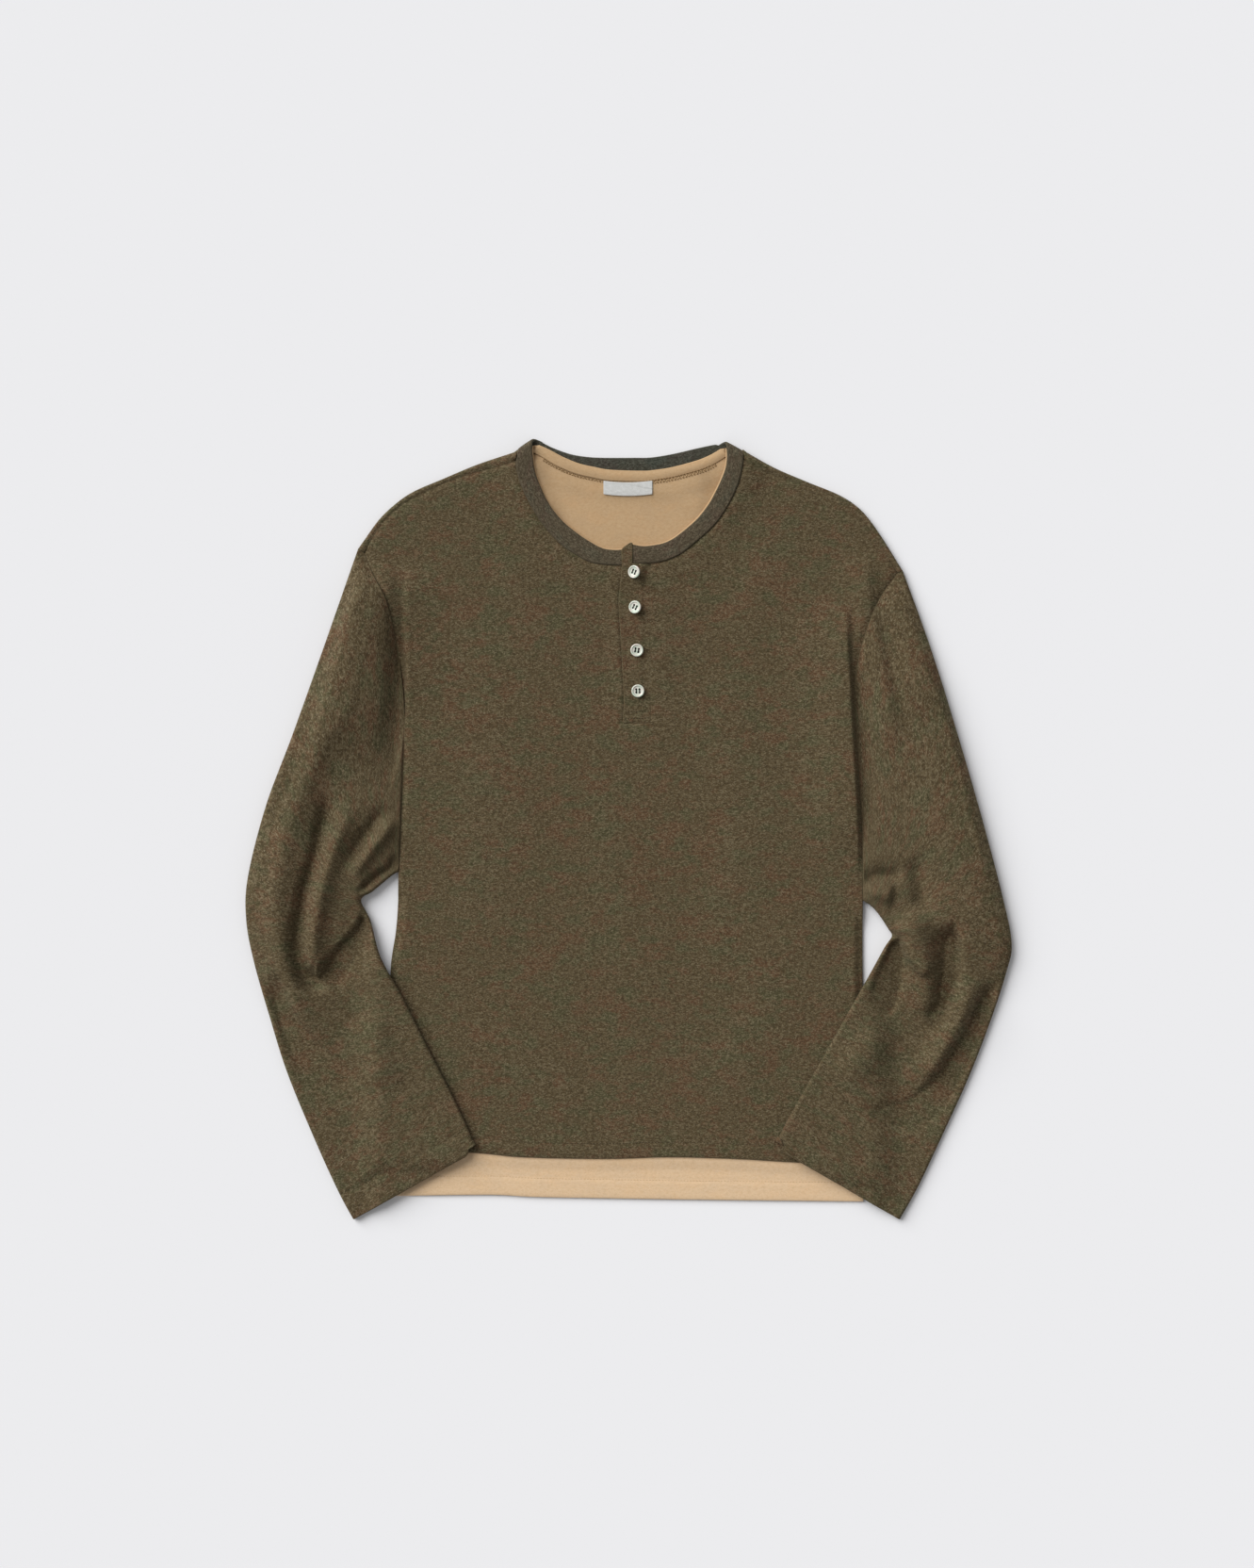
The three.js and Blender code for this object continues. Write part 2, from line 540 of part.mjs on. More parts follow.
// Neckband stations: seam and free edge in plan, height of the middle, and how far the band has turned over
function turnStations(turn, backHeight, frontHeight, free, seam) {
  const STEPS = 6;
  const along = turn.free.clone().sub(turn.seam).normalize();
  const outward = new THREE.Vector2(-along.y, along.x).multiplyScalar(along.x > 0 ? 1 : -1);
  const outerRadius = (BAND_FRONT_HEIGHT + BAND_SHOULDER_RISE - BAND_BACK_HEIGHT) / 2;
  const inset = outerRadius + BAND_THICKNESS / 2;
  const radius = (frontHeight - backHeight) / 2;
  const stations = [];
  for (let i = 0; i <= STEPS; i++) {
    const angle = (i / STEPS) * Math.PI;
    const shift = (angle / Math.PI - 0.5) * Math.PI * outerRadius * Math.tan(THREE.MathUtils.degToRad(turn.slant));
    const move = (end) =>
      turn.seam.clone()
        .addScaledVector(along, end + shift)
        .addScaledVector(outward, radius * Math.sin(angle) - inset);
    stations.push({
      seam: move(seam),
      free: move(free),
      height: (frontHeight + backHeight) / 2 + radius * Math.cos(angle),
      angle,
      outward,
    });
  }
  return stations;
}

function bandLoops(stations, thickness) {
  // Section: share of the half width, share of the half thickness
  const SECTION = [[1, 0.5], [0.82, 1], [-0.82, 1], [-1, 0.5], [-1, -0.5], [-0.82, -1], [0.82, -1], [1, -0.5]];
  return stations.map(({ seam, free, height, angle, outward }) => {
    const middle = seam.clone().add(free).multiplyScalar(0.5);
    const half = free.clone().sub(seam).multiplyScalar(0.5);
    const reach = (thickness / 2) * Math.sin(angle);
    return SECTION.map(([w, t]) => {
      const place = middle.clone().addScaledVector(half, w).addScaledVector(outward, reach * t);
      return new THREE.Vector3(place.x, place.y, height + (thickness / 2) * Math.cos(angle) * t);
    });
  });
}

const NO_TURN = new THREE.Vector2(0, 0);
const turnWidth = (turn) => turn.free.distanceTo(turn.seam);
const turns = {
  right: turnStations(TURN_RIGHT, BAND_BACK_HEIGHT, BAND_FRONT_HEIGHT + BAND_SHOULDER_RISE, turnWidth(TURN_RIGHT), 0),
  left: turnStations(TURN_LEFT, BAND_BACK_HEIGHT, BAND_FRONT_HEIGHT + BAND_SHOULDER_RISE, turnWidth(TURN_LEFT), 0),
};

// Front half of the band from the placket up to the turn, each station with its seam and free edge
function frontBandStations(seamTable, freeTable, turn, steps) {
  const seam = smoothLine([...seamTable].reverse().concat(turn[0].seam), steps);
  const free = smoothLine([...freeTable].reverse().concat(turn[0].free), steps);
  return seam.slice(0, -1).map((point, i) => ({
    seam: point,
    free: free[i],
    height: BAND_FRONT_HEIGHT + BAND_SHOULDER_RISE * bandRise(point.y),
    angle: 0,
    outward: NO_TURN,
  }));
}

const FRONT_BAND_STEPS = 14;
const BACK_BAND_STEPS = 12;
const frontBand = {
  right: frontBandStations(SEAM_RIGHT, FREE_RIGHT, turns.right, FRONT_BAND_STEPS),
  left: frontBandStations(SEAM_LEFT, FREE_LEFT, turns.left, FRONT_BAND_STEPS),
};

function makeNeckband() {
  const seam = smoothLine([turns.right.at(-1).seam, ...BACK_SEAM, turns.left.at(-1).seam], BACK_BAND_STEPS);
  const free = smoothLine([turns.right.at(-1).free, ...BACK_FREE, turns.left.at(-1).free], BACK_BAND_STEPS);
  const back = seam.slice(1, -1).map((point, i) => ({
    seam: point, free: free[i + 1], height: BAND_BACK_HEIGHT, angle: Math.PI, outward: NO_TURN,
  }));
  const stations = [
    ...frontBand.right, ...turns.right, ...back, ...[...turns.left].reverse(), ...[...frontBand.left].reverse(),
  ];
  return loftGeometry(bandLoops(stations, BAND_THICKNESS));
}

// The tan band shows past the free edge of the outer one, and runs on unbroken behind the placket
function innerStation({ seam, free, angle, outward }, height) {
  const across = free.clone().sub(seam).normalize();
  const innerFree = free.clone().addScaledVector(across, INNER_BAND_PEEK);
  return { seam: innerFree.clone().addScaledVector(across, -INNER_BAND_WIDTH), free: innerFree, height, angle, outward };
}
const innerFrontHeight = (y) => INNER_BAND_FRONT_HEIGHT + INNER_BAND_SHOULDER_RISE * bandRise(y);
const innerFrontBand = {
  right: frontBand.right.map((s) => innerStation(s, innerFrontHeight(s.seam.y))),
  left: frontBand.left.map((s) => innerStation(s, innerFrontHeight(s.seam.y))),
};
function innerTurn(turn) {
  const free = turnWidth(turn) + INNER_BAND_PEEK;
  const front = INNER_BAND_FRONT_HEIGHT + INNER_BAND_SHOULDER_RISE;
  return turnStations(turn, INNER_BAND_BACK_HEIGHT, front, free, free - INNER_BAND_WIDTH);
}
const innerTurns = { right: innerTurn(TURN_RIGHT), left: innerTurn(TURN_LEFT) };
const innerBackFree = smoothLine(
  [innerTurns.right.at(-1).free, ...TAN_BACK_FREE, innerTurns.left.at(-1).free], BACK_BAND_STEPS,
);
const innerBackSeam = offsetLine(innerBackFree, -INNER_BAND_WIDTH);
innerBackSeam[0] = innerTurns.right.at(-1).seam;
innerBackSeam[innerBackSeam.length - 1] = innerTurns.left.at(-1).seam;
tanNeckSeam.push(
  innerTurns.right[0].seam, ...[...innerFrontBand.right].reverse().map((s) => s.seam),
  ...innerFrontBand.left.map((s) => s.seam), innerTurns.left[0].seam,
);
const tanBackSeam = innerBackSeam;

function makeInnerNeckband() {
  const back = innerBackSeam.slice(1, -1).map((seam, i) => ({
    seam, free: innerBackFree[i + 1], height: INNER_BAND_BACK_HEIGHT, angle: Math.PI, outward: NO_TURN,
  }));
  const stations = [
    ...innerFrontBand.right, ...innerTurns.right, ...back, ...[...innerTurns.left].reverse(),
    ...[...innerFrontBand.left].reverse(),
  ];
  return loftGeometry(bandLoops(stations, INNER_BAND_THICKNESS), true);
}

// Tan panels: inside the olive outline, then out to the full width below its hem
const INNER_COLUMNS = panelColumns([0, 0.12, 0.215], 16);
const INNER_ROWS = [0, 0.033, 0.043, 0.053, 0.063, 0.075, 0.2, 0.35, 0.5, 0.65, 0.8, 0.9, 0.94, 0.97, 1];

function innerEdges(seam) {
  const SPREAD_FROM = 4;
  const SPREAD_TO = 28;
  const NECK_STEPS = 40;
  const shoulder = (stations) => insideShoulder(stations, () => INNER_SHOULDER_INSET).reverse();
  const rightShoulder = shoulder(rightStations);
  const leftShoulder = shoulder(leftStations);
  const neck = smoothLine([rightShoulder.at(-1), ...seam, leftShoulder.at(-1)], NECK_STEPS);
  const side = (sideTable, armholeTable, hemCorner, shoulderEnd, inward) => {
    const line = offsetLine(sideEdge(sideTable, armholeTable, shoulderEnd).slice(0, -1), inward)
      .filter((point) => point.y < shoulderEnd.y - INNER_SHOULDER_INSET);
    line[0].y += SPREAD_FROM;
    const spread = new THREE.Vector2(THREE.MathUtils.lerp(line[0].x, hemCorner.x, 0.7), hemCorner.y + SPREAD_TO);
    return [hemCorner, spread, ...line, shoulderEnd];
  };
  return {
    hem: TAN_HEM,
    top: topEdge(INNER_COLUMNS, rightShoulder, neck, leftShoulder),
    right: side(SIDE_RIGHT, ARMHOLE_RIGHT, TAN_HEM[0], rightShoulder[0], -INNER_INSET),
    left: side(SIDE_LEFT, ARMHOLE_LEFT, TAN_HEM.at(-1), leftShoulder[0], INNER_INSET),
  };
}

function makeInnerFront() {
  const seam = offsetLine(tanNeckSeam, -INNER_FRONT_NECK_GAP).slice(2, -2);
  return wallGeometry(panelRows(innerEdges(seam), INNER_COLUMNS, INNER_ROWS, innerFrontTop, LINING));
}

function makeInnerBack() {
  const seam = offsetLine(innerBackSeam, -INNER_BACK_NECK_GAP).slice(1, -1);
  return wallGeometry(panelRows(innerEdges(seam), INNER_COLUMNS, INNER_ROWS, innerBackTop, LINING));
}

// Upper placket: level with the front at its sewn side, over it everywhere else
function placketTop(x, y) {
  const lapped = Math.max(1 - softStep(x, 11, 18), 1 - softStep(y, WINDOW_BOTTOM + 4, WINDOW_BOTTOM + 18));
  const atBand = softStep(y, NECK_EDGE, NECK_EDGE + 10);
  return frontTop(x, y) + (GAP + CLOTH) * lapped * (1 - 0.5 * atBand);
}

function makePlacketUpper() {
  const SHARES = [0, 0.12, 0.4, 0.68, 0.84, 1];
  const rows = PLACKET_ROWS.map(([y, left, right]) =>
    SHARES.map((share) => {
      const x = THREE.MathUtils.lerp(left, right, share);
      const top = placketTop(x, y);
      return { x, y, top, bottom: top - CLOTH };
    }),
  );
  return wallGeometry(rows);
}

// Lower placket: level with the front, under the buttons
function makePlacketLower() {
  const STEPS = 10;
  const rows = [];
  for (let i = 0; i <= STEPS; i++) {
    const y = THREE.MathUtils.lerp(WINDOW_BOTTOM + GAP, NECK_EDGE - 1.5, i / STEPS);
    rows.push([0, 0.5, 1].map((share) => {
      const x = WINDOW_LEFT + GAP + share * LOWER_PLACKET_WIDTH;
      const top = frontTop(x, y);
      return { x, y, top, bottom: top - CLOTH };
    }));
  }
  return wallGeometry(rows);
}

// Button: turned disc with a raised rim, a dished middle and four holes
function makeButton() {
  const SEGMENTS = 12;
  const radius = BUTTON_DIAMETER / 2;
  const half = BUTTON_THICKNESS / 2;
  const profile = flat(
    [0, -half], [radius * 0.85, -half], [radius, half * 0.2], [radius * 0.92, half], [radius * 0.78, half],
    [radius * 0.64, half * 0.3], [0, half * 0.2],
  );
  const disc = new THREE.LatheGeometry(profile, SEGMENTS);
  disc.rotateX(Math.PI / 2);
  let button = solidOf(disc);
  for (let i = 0; i < 4; i++) {
    const angle = ((i + 0.5) / 4) * 2 * Math.PI;
    const hole = new THREE.CylinderGeometry(BUTTON_HOLE / 2, BUTTON_HOLE / 2, BUTTON_THICKNESS * 2, 6);
    hole.rotateX(Math.PI / 2);
    hole.translate(
      Math.cos(angle) * BUTTON_HOLE_REACH * Math.SQRT2,
      Math.sin(angle) * BUTTON_HOLE_REACH * Math.SQRT2,
      0,
    );
    button = button.subtract(solidOf(hole));
  }
  return geometryOf(button);
}

// Label: a small woven rectangle under the back neck seam
function makeLabel() {
  const LEFT = -22.5;
  const RIGHT = 20.8;
  const HEIGHT = 11.5;
  const STEPS = 8;
  const rows = [0, 0.5, 1].map((share) =>
    Array.from({ length: STEPS + 1 }, (_, i) => {
      const x = THREE.MathUtils.lerp(LEFT, RIGHT, i / STEPS);
      const sag = ((x - (LEFT + RIGHT) / 2) / (RIGHT - LEFT)) ** 2 * 6;
      const y = 300.5 + sag + share * HEIGHT;
      const top = innerBackTop(x, y) + GAP + LABEL_THICKNESS;
      return { x, y, top, bottom: top - LABEL_THICKNESS };
    }),
  );
  return wallGeometry(rows);
}

// Height of whatever lies under a sleeve: the shirt, the tan hem alone, or the floor
function seatHeight(x, y) {
  const fromSides = Math.min(x - bodyRightX(y), bodyLeftX(y) - x);
  const inShirt = Math.min(fromSides, y - oliveHemY(x));
  const inTan = Math.min(fromSides, y - tanHemY(x));
  const onShirt = SEAT_ON_SHIRT * softStep(inShirt, -SEAT_OVERHANG - SEAT_SLOPE, -SEAT_OVERHANG);
  const onTan = SEAT_ON_TAN * softStep(inTan, -SEAT_OVERHANG - SEAT_SLOPE * 0.6, -SEAT_OVERHANG);
  return Math.max(onShirt, onTan);
}

// Creases add soft ridges and troughs that fade at both ends
function creaseHeight(x, y, creases) {
  let height = 0;
  for (const crease of creases) {
    const { distance, share } = nearest(x, y, crease.line);
    const fade = softStep(share, 0, 0.25) * (1 - softStep(share, 0.8, 1));
    height += crease.height * fade * Math.exp(-((distance / crease.width) ** 2));
  }
  return height;
}

// Sleeve: a flattened tube from the armhole over the elbow to the cuff, lying on the floor and then on the body
function makeSleeve(table, creases, armhole) {
  const RINGS_PER_STATION = 2;
  const TOP_STEPS = 9;
  const BOTTOM_STEPS = 4;
  const EDGE = [0.8, 3];
  const EDGE_REACH = 9;
  const outerEdge = new THREE.SplineCurve(flat(...table.map(([x, y]) => [x, y])));
  const innerEdge = new THREE.SplineCurve(flat(...table.map(([, , x, y]) => [x, y])));
  const spans = table.length - 1;
  const rings = spans * RINGS_PER_STATION;
  const outer = [];
  const inner = [];
  for (let k = 0; k <= rings; k++) {
    const station = k / RINGS_PER_STATION;
    const from = outerEdge.getPoint(station / spans);
    const to = innerEdge.getPoint(station / spans);
    const row = Math.min(spans - 1, Math.floor(station));
    const tube = THREE.MathUtils.lerp(table[row][4], table[row + 1][4], station - row);
    const bend = 1 - softStep(station, 0, 2);
    const seated = softStep(station, ELBOW_STATION - 0.5, ELBOW_STATION + 0.5);
    const width = from.distanceTo(to);
    // Places across the ring: near the edges by distance, then in even steps
    const spread = (steps) => [
      ...EDGE,
      ...Array.from({ length: steps + 1 }, (_, i) => EDGE_REACH + (i / steps) * (width - 2 * EDGE_REACH)),
      ...EDGE.map((d) => width - d).reverse(),
    ];
    const run = [
      ...[0, ...spread(TOP_STEPS), width].map((d) => [d, 1]),
      ...spread(BOTTOM_STEPS).reverse().map((d) => [d, -1]),
    ];
    const loop = (inset) =>
      run.map(([d, face]) => {
        const across = inset + (d * (width - 2 * inset)) / width;
        const plan = from.clone().lerp(to, across / width);
        const arc = pointAlong(armhole, across / width).sub(
          armhole[0].clone().lerp(armhole.at(-1), across / width),
        );
        plan.addScaledVector(arc, bend);
        const thick = tube - 2 * inset;
        const fromEdge = Math.min(across, width - across) - inset;
        const swell = Math.sqrt(1 - (1 - clamp01(fromEdge / (thick / 2))) ** 2);
        const seat = seated * seatHeight(plan.x, plan.y);
        const fade = softStep(fromEdge, 0, 16) * softStep(station, 0, 0.8);
        const crease = face > 0 ? creaseHeight(plan.x, plan.y, creases) * fade : 0;
        const height = seat + inset + thick / 2 + face * (thick / 2) * swell;
        const lowest = seat + tube / 2;
        return new THREE.Vector3(plan.x, plan.y, face > 0 ? Math.max(lowest, height + crease) : height);
      });
    outer.push(loop(0));
    inner.push(loop(CLOTH));
  }
  return tubeWallGeometry(outer, inner);
}

// Materials
const material = (color, roughness) => new THREE.MeshStandardMaterial({ color, roughness, metalness: 0 });
const olive = material(0x554a36, 0.95);
const oliveDark = material(0x4c4331, 0.95);
const tan = material(0xb79974, 0.95);
const shell = material(0xe8e4da, 0.3);
const labelCloth = material(0xcbcbc9, 0.8);

const shirt = new THREE.Group();
function addPiece(name, geometry, finish) {
  const mesh = new THREE.Mesh(geometry, finish);
  mesh.name = name;
  shirt.add(mesh);
  return mesh;
}

addPiece("back", makeBack(), olive);
addPiece("inner_back", makeInnerBack(), tan);
addPiece("inner_neckband", makeInnerNeckband(), tan);
addPiece("neck_label", makeLabel(), labelCloth);
addPiece("inner_front", makeInnerFront(), tan);
addPiece("front", makeFront(), olive);
addPiece("neckband", makeNeckband(), oliveDark);
addPiece("placket_lower", makePlacketLower(), oliveDark);
addPiece("placket_upper", makePlacketUpper(), olive);

// Armhole lines of the sleeves: from the shoulder's tip, just outside the panels
function sleeveRoot(stations, armhole, outward) {
  const tip = stations.at(-1).point;
  return offsetLine([tip, ...smoothLine(armhole, 24)], outward * ARMHOLE_GAP);
}
addPiece("sleeve_right", makeSleeve(SLEEVE_RIGHT, CREASES_RIGHT, sleeveRoot(rightStations, ARMHOLE_RIGHT, -1)), olive);
addPiece("sleeve_left", makeSleeve(SLEEVE_LEFT, CREASES_LEFT, sleeveRoot(leftStations, ARMHOLE_LEFT, 1)), olive);

BUTTONS.forEach(([x, y, tilt, turn], i) => {
  const button = addPiece(`button_${i + 1}`, makeButton(), shell);
  const lean = THREE.MathUtils.degToRad(tilt);
  const rise = (BUTTON_DIAMETER / 2) * Math.sin(lean) + (BUTTON_THICKNESS / 2) * Math.cos(lean);
  button.position.set(x, y, placketTop(x, y) + GAP + rise);
  button.rotation.set(0, -lean, THREE.MathUtils.degToRad(turn), "YXZ");
});

export default shirt;
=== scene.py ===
"""Layered henley shirt laid flat: dressed pieces, finishes, floor, light and camera.

Places and sizes are in millimetres until a mesh is made, with the part's axes: +X to the wearer's left,
+Y from the hem to the neck, +Z up from the surface that the shirt lies on.
"""
import math

import bpy
import numpy as np
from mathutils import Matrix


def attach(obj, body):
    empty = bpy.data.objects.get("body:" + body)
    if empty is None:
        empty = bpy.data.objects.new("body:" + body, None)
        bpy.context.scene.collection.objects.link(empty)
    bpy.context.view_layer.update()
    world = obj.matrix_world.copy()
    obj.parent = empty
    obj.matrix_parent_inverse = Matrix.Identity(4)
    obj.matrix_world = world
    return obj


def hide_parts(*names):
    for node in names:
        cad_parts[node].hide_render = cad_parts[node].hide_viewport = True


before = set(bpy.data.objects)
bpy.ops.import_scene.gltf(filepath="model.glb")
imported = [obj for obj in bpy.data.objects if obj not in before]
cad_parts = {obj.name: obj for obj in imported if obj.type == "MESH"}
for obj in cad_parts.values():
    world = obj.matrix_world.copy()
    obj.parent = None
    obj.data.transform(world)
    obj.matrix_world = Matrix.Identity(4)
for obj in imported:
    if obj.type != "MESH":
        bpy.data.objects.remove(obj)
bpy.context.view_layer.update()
scene = bpy.context.scene
MM = 0.001

# Camera straight above the shirt, and how much of the surface it sees from top to bottom
VIEW_CENTRE = (-1.7, 40.8)
VIEW_DISTANCE = 3000
VIEW_HEIGHT = 1414.4

# Cloth walls, seams and the heights of the stacked layers
CLOTH = 1.5
LINING = 1.2
GAP = 0.3
SEAM_GAP = 0.25
INNER_BACK_BOTTOM = CLOTH + GAP
INNER_FRONT_BOTTOM = INNER_BACK_BOTTOM + LINING + GAP
FRONT_BOTTOM = INNER_FRONT_BOTTOM + LINING + GAP
FRONT_TOP = FRONT_BOTTOM + CLOTH

# Neckbands
BAND_THICKNESS = 2.8
BAND_BACK_HEIGHT = 1.4
BAND_FRONT_HEIGHT = 7.4
BAND_SHOULDER_RISE = 3.2
INNER_BAND_WIDTH = 10
INNER_BAND_THICKNESS = 2.6
INNER_BAND_BACK_HEIGHT = 4.5
INNER_BAND_FRONT_HEIGHT = 4.6
INNER_BAND_SHOULDER_RISE = 2.6
INNER_BAND_PEEK = 1.2
INNER_TURN_TUCK = 4.5
INNER_TURN_DROP = 2
BAND_RISE_FROM = 260
BAND_RISE_TO = 335
NECK_LIFT_REACH = 30
INNER_LIFT_REACH = 16
INNER_BACK_LIFT = 1.5
SIDE_ROLL = 8
SIDE_DROP = FRONT_BOTTOM - CLOTH - GAP
INNER_INSET = 11
INNER_SHOULDER_INSET = 12
INNER_BACK_NECK_GAP = 0.4
INNER_FRONT_NECK_GAP = 1.2

# Placket, buttons and label
PLACKET_RIGHT = 19.1
PLACKET_BOTTOM = 96
WINDOW_LEFT = -3
WINDOW_RIGHT = PLACKET_RIGHT + GAP
WINDOW_BOTTOM = 104
BAND_END = 3.1
NECK_EDGE = 238
LOWER_PLACKET_WIDTH = 14
PLACKET_SINK = 0.5
PLACKET_RISE = 1.3
PLACKET_RISE_REACH = 34
BUTTON_DIAMETER = 11.6
BUTTON_THICKNESS = 2.6
BUTTON_HOLE = 1.9
BUTTON_HOLE_REACH = 1.45
LABEL_THICKNESS = 0.8

# Sleeve seat on the body
SEAT_ON_SHIRT = 7.2
SEAT_ON_TAN = 3.8
SEAT_OVERHANG = 5
SEAT_SLOPE = 31
ARMHOLE_GAP = 0.5
LOWEST_FOLD = 3.8
FOLD_TOP = 24.5
FOLD_DEPTH = 1.25

# Hems and their stitch rows
OLIVE_HEM_STITCH = 13
TAN_HEM_STITCH = 16.5
CUFF_STITCH = 21

# Armholes, side seams and hem lines: x, y
ARMHOLE_RIGHT = [
    (-238.4, 249.6), (-229, 228), (-215.5, 200), (-206, 147), (-202, 102), (-203, 55), (-205, 5),
    (-207, -38),
]
ARMHOLE_LEFT = [
    (242.2, 231.2), (224, 205), (208, 161.5), (202.5, 119), (205, 80), (208.5, 25), (210, -20), (210, -64),
]
SIDE_RIGHT = [(-207, -38), (-207.5, -68), (-209.5, -93), (-214, -125), (-215.5, -187), (-216.5, -289)]
SIDE_LEFT = [(210, -64), (210, -136), (211, -235), (212, -302)]
OLIVE_HEM = [
    (-216.5, -289), (-140, -290.7), (-96, -294.5), (-22, -296), (36, -294.5), (95, -296), (146, -299),
    (212, -302),
]
TAN_HEM = [(-215, -330), (-125, -329), (-81, -331), (36, -333), (120, -334), (211, -335)]

# Shoulders from the neck to the tip: outline x and y, and how far in from it the seam lies on the front
SHOULDER_RIGHT = [
    (-98.6, 341.6, 8.6), (-104.8, 339, 8), (-135.6, 329, 5.6), (-168, 315.5, 4.2), (-198.5, 301.8, 5.6),
    (-222.3, 282.2, 4.4),
    (-237.6, 261.8, 4.4), (-243.5, 253.3, 6),
]
SHOULDER_LEFT = [
    (101.6, 341.8, 8), (107.8, 338.4, 7.5), (131.3, 325.6, 4.7), (161.1, 312.8, 3.6), (190, 300.9, 4.3),
    (209.5, 287.3, 4.9),
    (226.5, 265.2, 4.4), (246.1, 233.8, 4.4),
]

# Neckband: seams and free edges, x, y
SEAM_RIGHT = [
    (-101.6, 327.3), (-97.4, 310.3), (-88, 290.7), (-77, 273.7), (-61.7, 256.7), (-48.1, 247.4),
    (-35.3, 240.6),
    (-20, 238), (-5.2, 237.4),
]
FREE_RIGHT = [
    (-86.9, 338.4), (-83.9, 320), (-77.2, 303), (-71.2, 291.8), (-66, 284.6), (-58.2, 276), (-48, 267.6),
    (-40.8, 262.4), (-28.6, 255.1), (-20.8, 252.2), (-12, 251.4), (-5.8, 251.8),
]
SEAM_LEFT = [
    (102.4, 327.3), (98.2, 310.3), (88.8, 290.7), (76.8, 273.7), (59.5, 257.9), (47.4, 248.4),
    (34.6, 242.4),
    (20.8, 239.6), (BAND_END, 238.6),
]
FREE_LEFT = [
    (88.2, 335), (86.8, 324.5), (82.4, 313), (77.6, 303), (71.8, 292.6), (62.4, 280.4), (52.4, 271.2),
    (41.4, 262.6), (33.5, 258.4), (25.5, 256.2), (13, 254.8), (BAND_END, 256.4),
]
BACK_SEAM = [
    (-90, 334.6), (-73, 328.6), (-57, 323.8), (-41, 321), (-24, 320), (6, 320), (22, 320.5), (43, 323.5),
    (66, 329), (84, 334),
]
BACK_FREE = [
    (-77, 348), (-67.6, 343.4), (-53.1, 338.3), (-38.7, 335.8), (-23.4, 334.9), (5.5, 334.9), (20, 335.2),
    (39.5, 338.3), (61.6, 343.4), (77, 346.6),
]
TAN_BACK_FREE = [
    (-71, 341.7), (-59.9, 335.8), (-45.5, 329.8), (-31, 326.4), (-16.6, 323.9), (10.6, 323), (22, 323.6),
    (39.5, 326.4), (61.6, 332.4), (74, 337.6),
]
TURN_RIGHT = {"seam": (-99.9, 342.6), "free": (-86.3, 351.9), "slant": 33}
TURN_LEFT = {"seam": (102.4, 340.9), "free": (87.1, 349.4), "slant": 29}

# Edges of the neckband beside both shoulders: y, x
BAND_EDGE_RIGHT = [(327.3, -102.2), (336, -101), (343, -100.7)]
BAND_EDGE_LEFT = [(327.3, 103), (334.7, 103.4), (343, 103.2)]
# Where the front's shoulder seams end, beside the neckband: x
FRONT_CORNERS = [-102.2, 102.9]

# Upper placket from its lower end up: y, left edge, right edge
PLACKET_ROWS = [
    (PLACKET_BOTTOM, -4.2, PLACKET_RIGHT), (101, -4.7, PLACKET_RIGHT), (115, -3.8, PLACKET_RIGHT),
    (135, -4.7, PLACKET_RIGHT), (159, -5.9, PLACKET_RIGHT), (179.5, -7.2, PLACKET_RIGHT),
    (204, -8.9, PLACKET_RIGHT), (220, -7.3, PLACKET_RIGHT), (228, -6.3, PLACKET_RIGHT),
    (NECK_EDGE - 0.8, -5.6, PLACKET_RIGHT), (NECK_EDGE - 0.4, -5.7, BAND_END - GAP),
    (246, -6.2, BAND_END - GAP), (251.2, -6.2, BAND_END - GAP), (253.2, -4.6, BAND_END - GAP),
    (255, -2, BAND_END - GAP), (256.4, 0, BAND_END - GAP), (257.3, 1.4, BAND_END - GAP - 0.3),
]

# Buttons from the neck down: x, y, tilt about Y and turn of the four holes, in degrees
BUTTONS = [(4.7, 231.4, 28, 66), (5.5, 199.8, 22, 64), (7.2, 161.1, 2, 80), (8.1, 124.5, 3, 92)]

# Sleeve stations: outer edge x, y, inner edge x, y, and height of the flattened tube
SLEEVE_RIGHT = [
    (-244, 252.9, -207.4, -38.2, 6.3), (-275.8, 161.5, -212.4, -41, 9.6), (-303, 85, -220.6, -47.6, 11.6),
    (-326.8, 21.3, -230.8, -56.1, 12.6), (-343, -42.5, -241, -63.8, 12.8), (-344.7, -80.8, -232.6, -82, 11),
    (-337.9, -119, -223.1, -114.8, 9), (-323.4, -170, -203.6, -150.5, 7.4),
    (-307.3, -221, -183.2, -191.3, 6.4),
    (-280.9, -284.8, -159.4, -238, 5.8), (-261.4, -327.3, -144.9, -268.6, 5.8),
    (-248.6, -351.1, -137.3, -288.2, 5.8),
]
SLEEVE_LEFT = [
    (246.6, 233.4, 210.4, -64.2, 6.3), (272.4, 161.5, 213.2, -65.8, 9.6), (296.2, 85, 218, -68.9, 11.6),
    (318.3, 8.5, 224.8, -76.5, 12.6), (336.2, -59.5, 233.3, -89.3, 12.8), (344.7, -102, 236.7, -96, 11),
    (340.4, -127.5, 229.9, -106.3, 9), (326.8, -170, 214.6, -133.5, 7.4), (307.3, -221, 191.7, -174.3, 6.4),
    (284.3, -272, 165.3, -221, 5.8), (261.4, -320.5, 142.4, -261.8, 5.8),
    (244.4, -351.1, 130.5, -284.8, 5.8),
]
ELBOW_STATION = 5

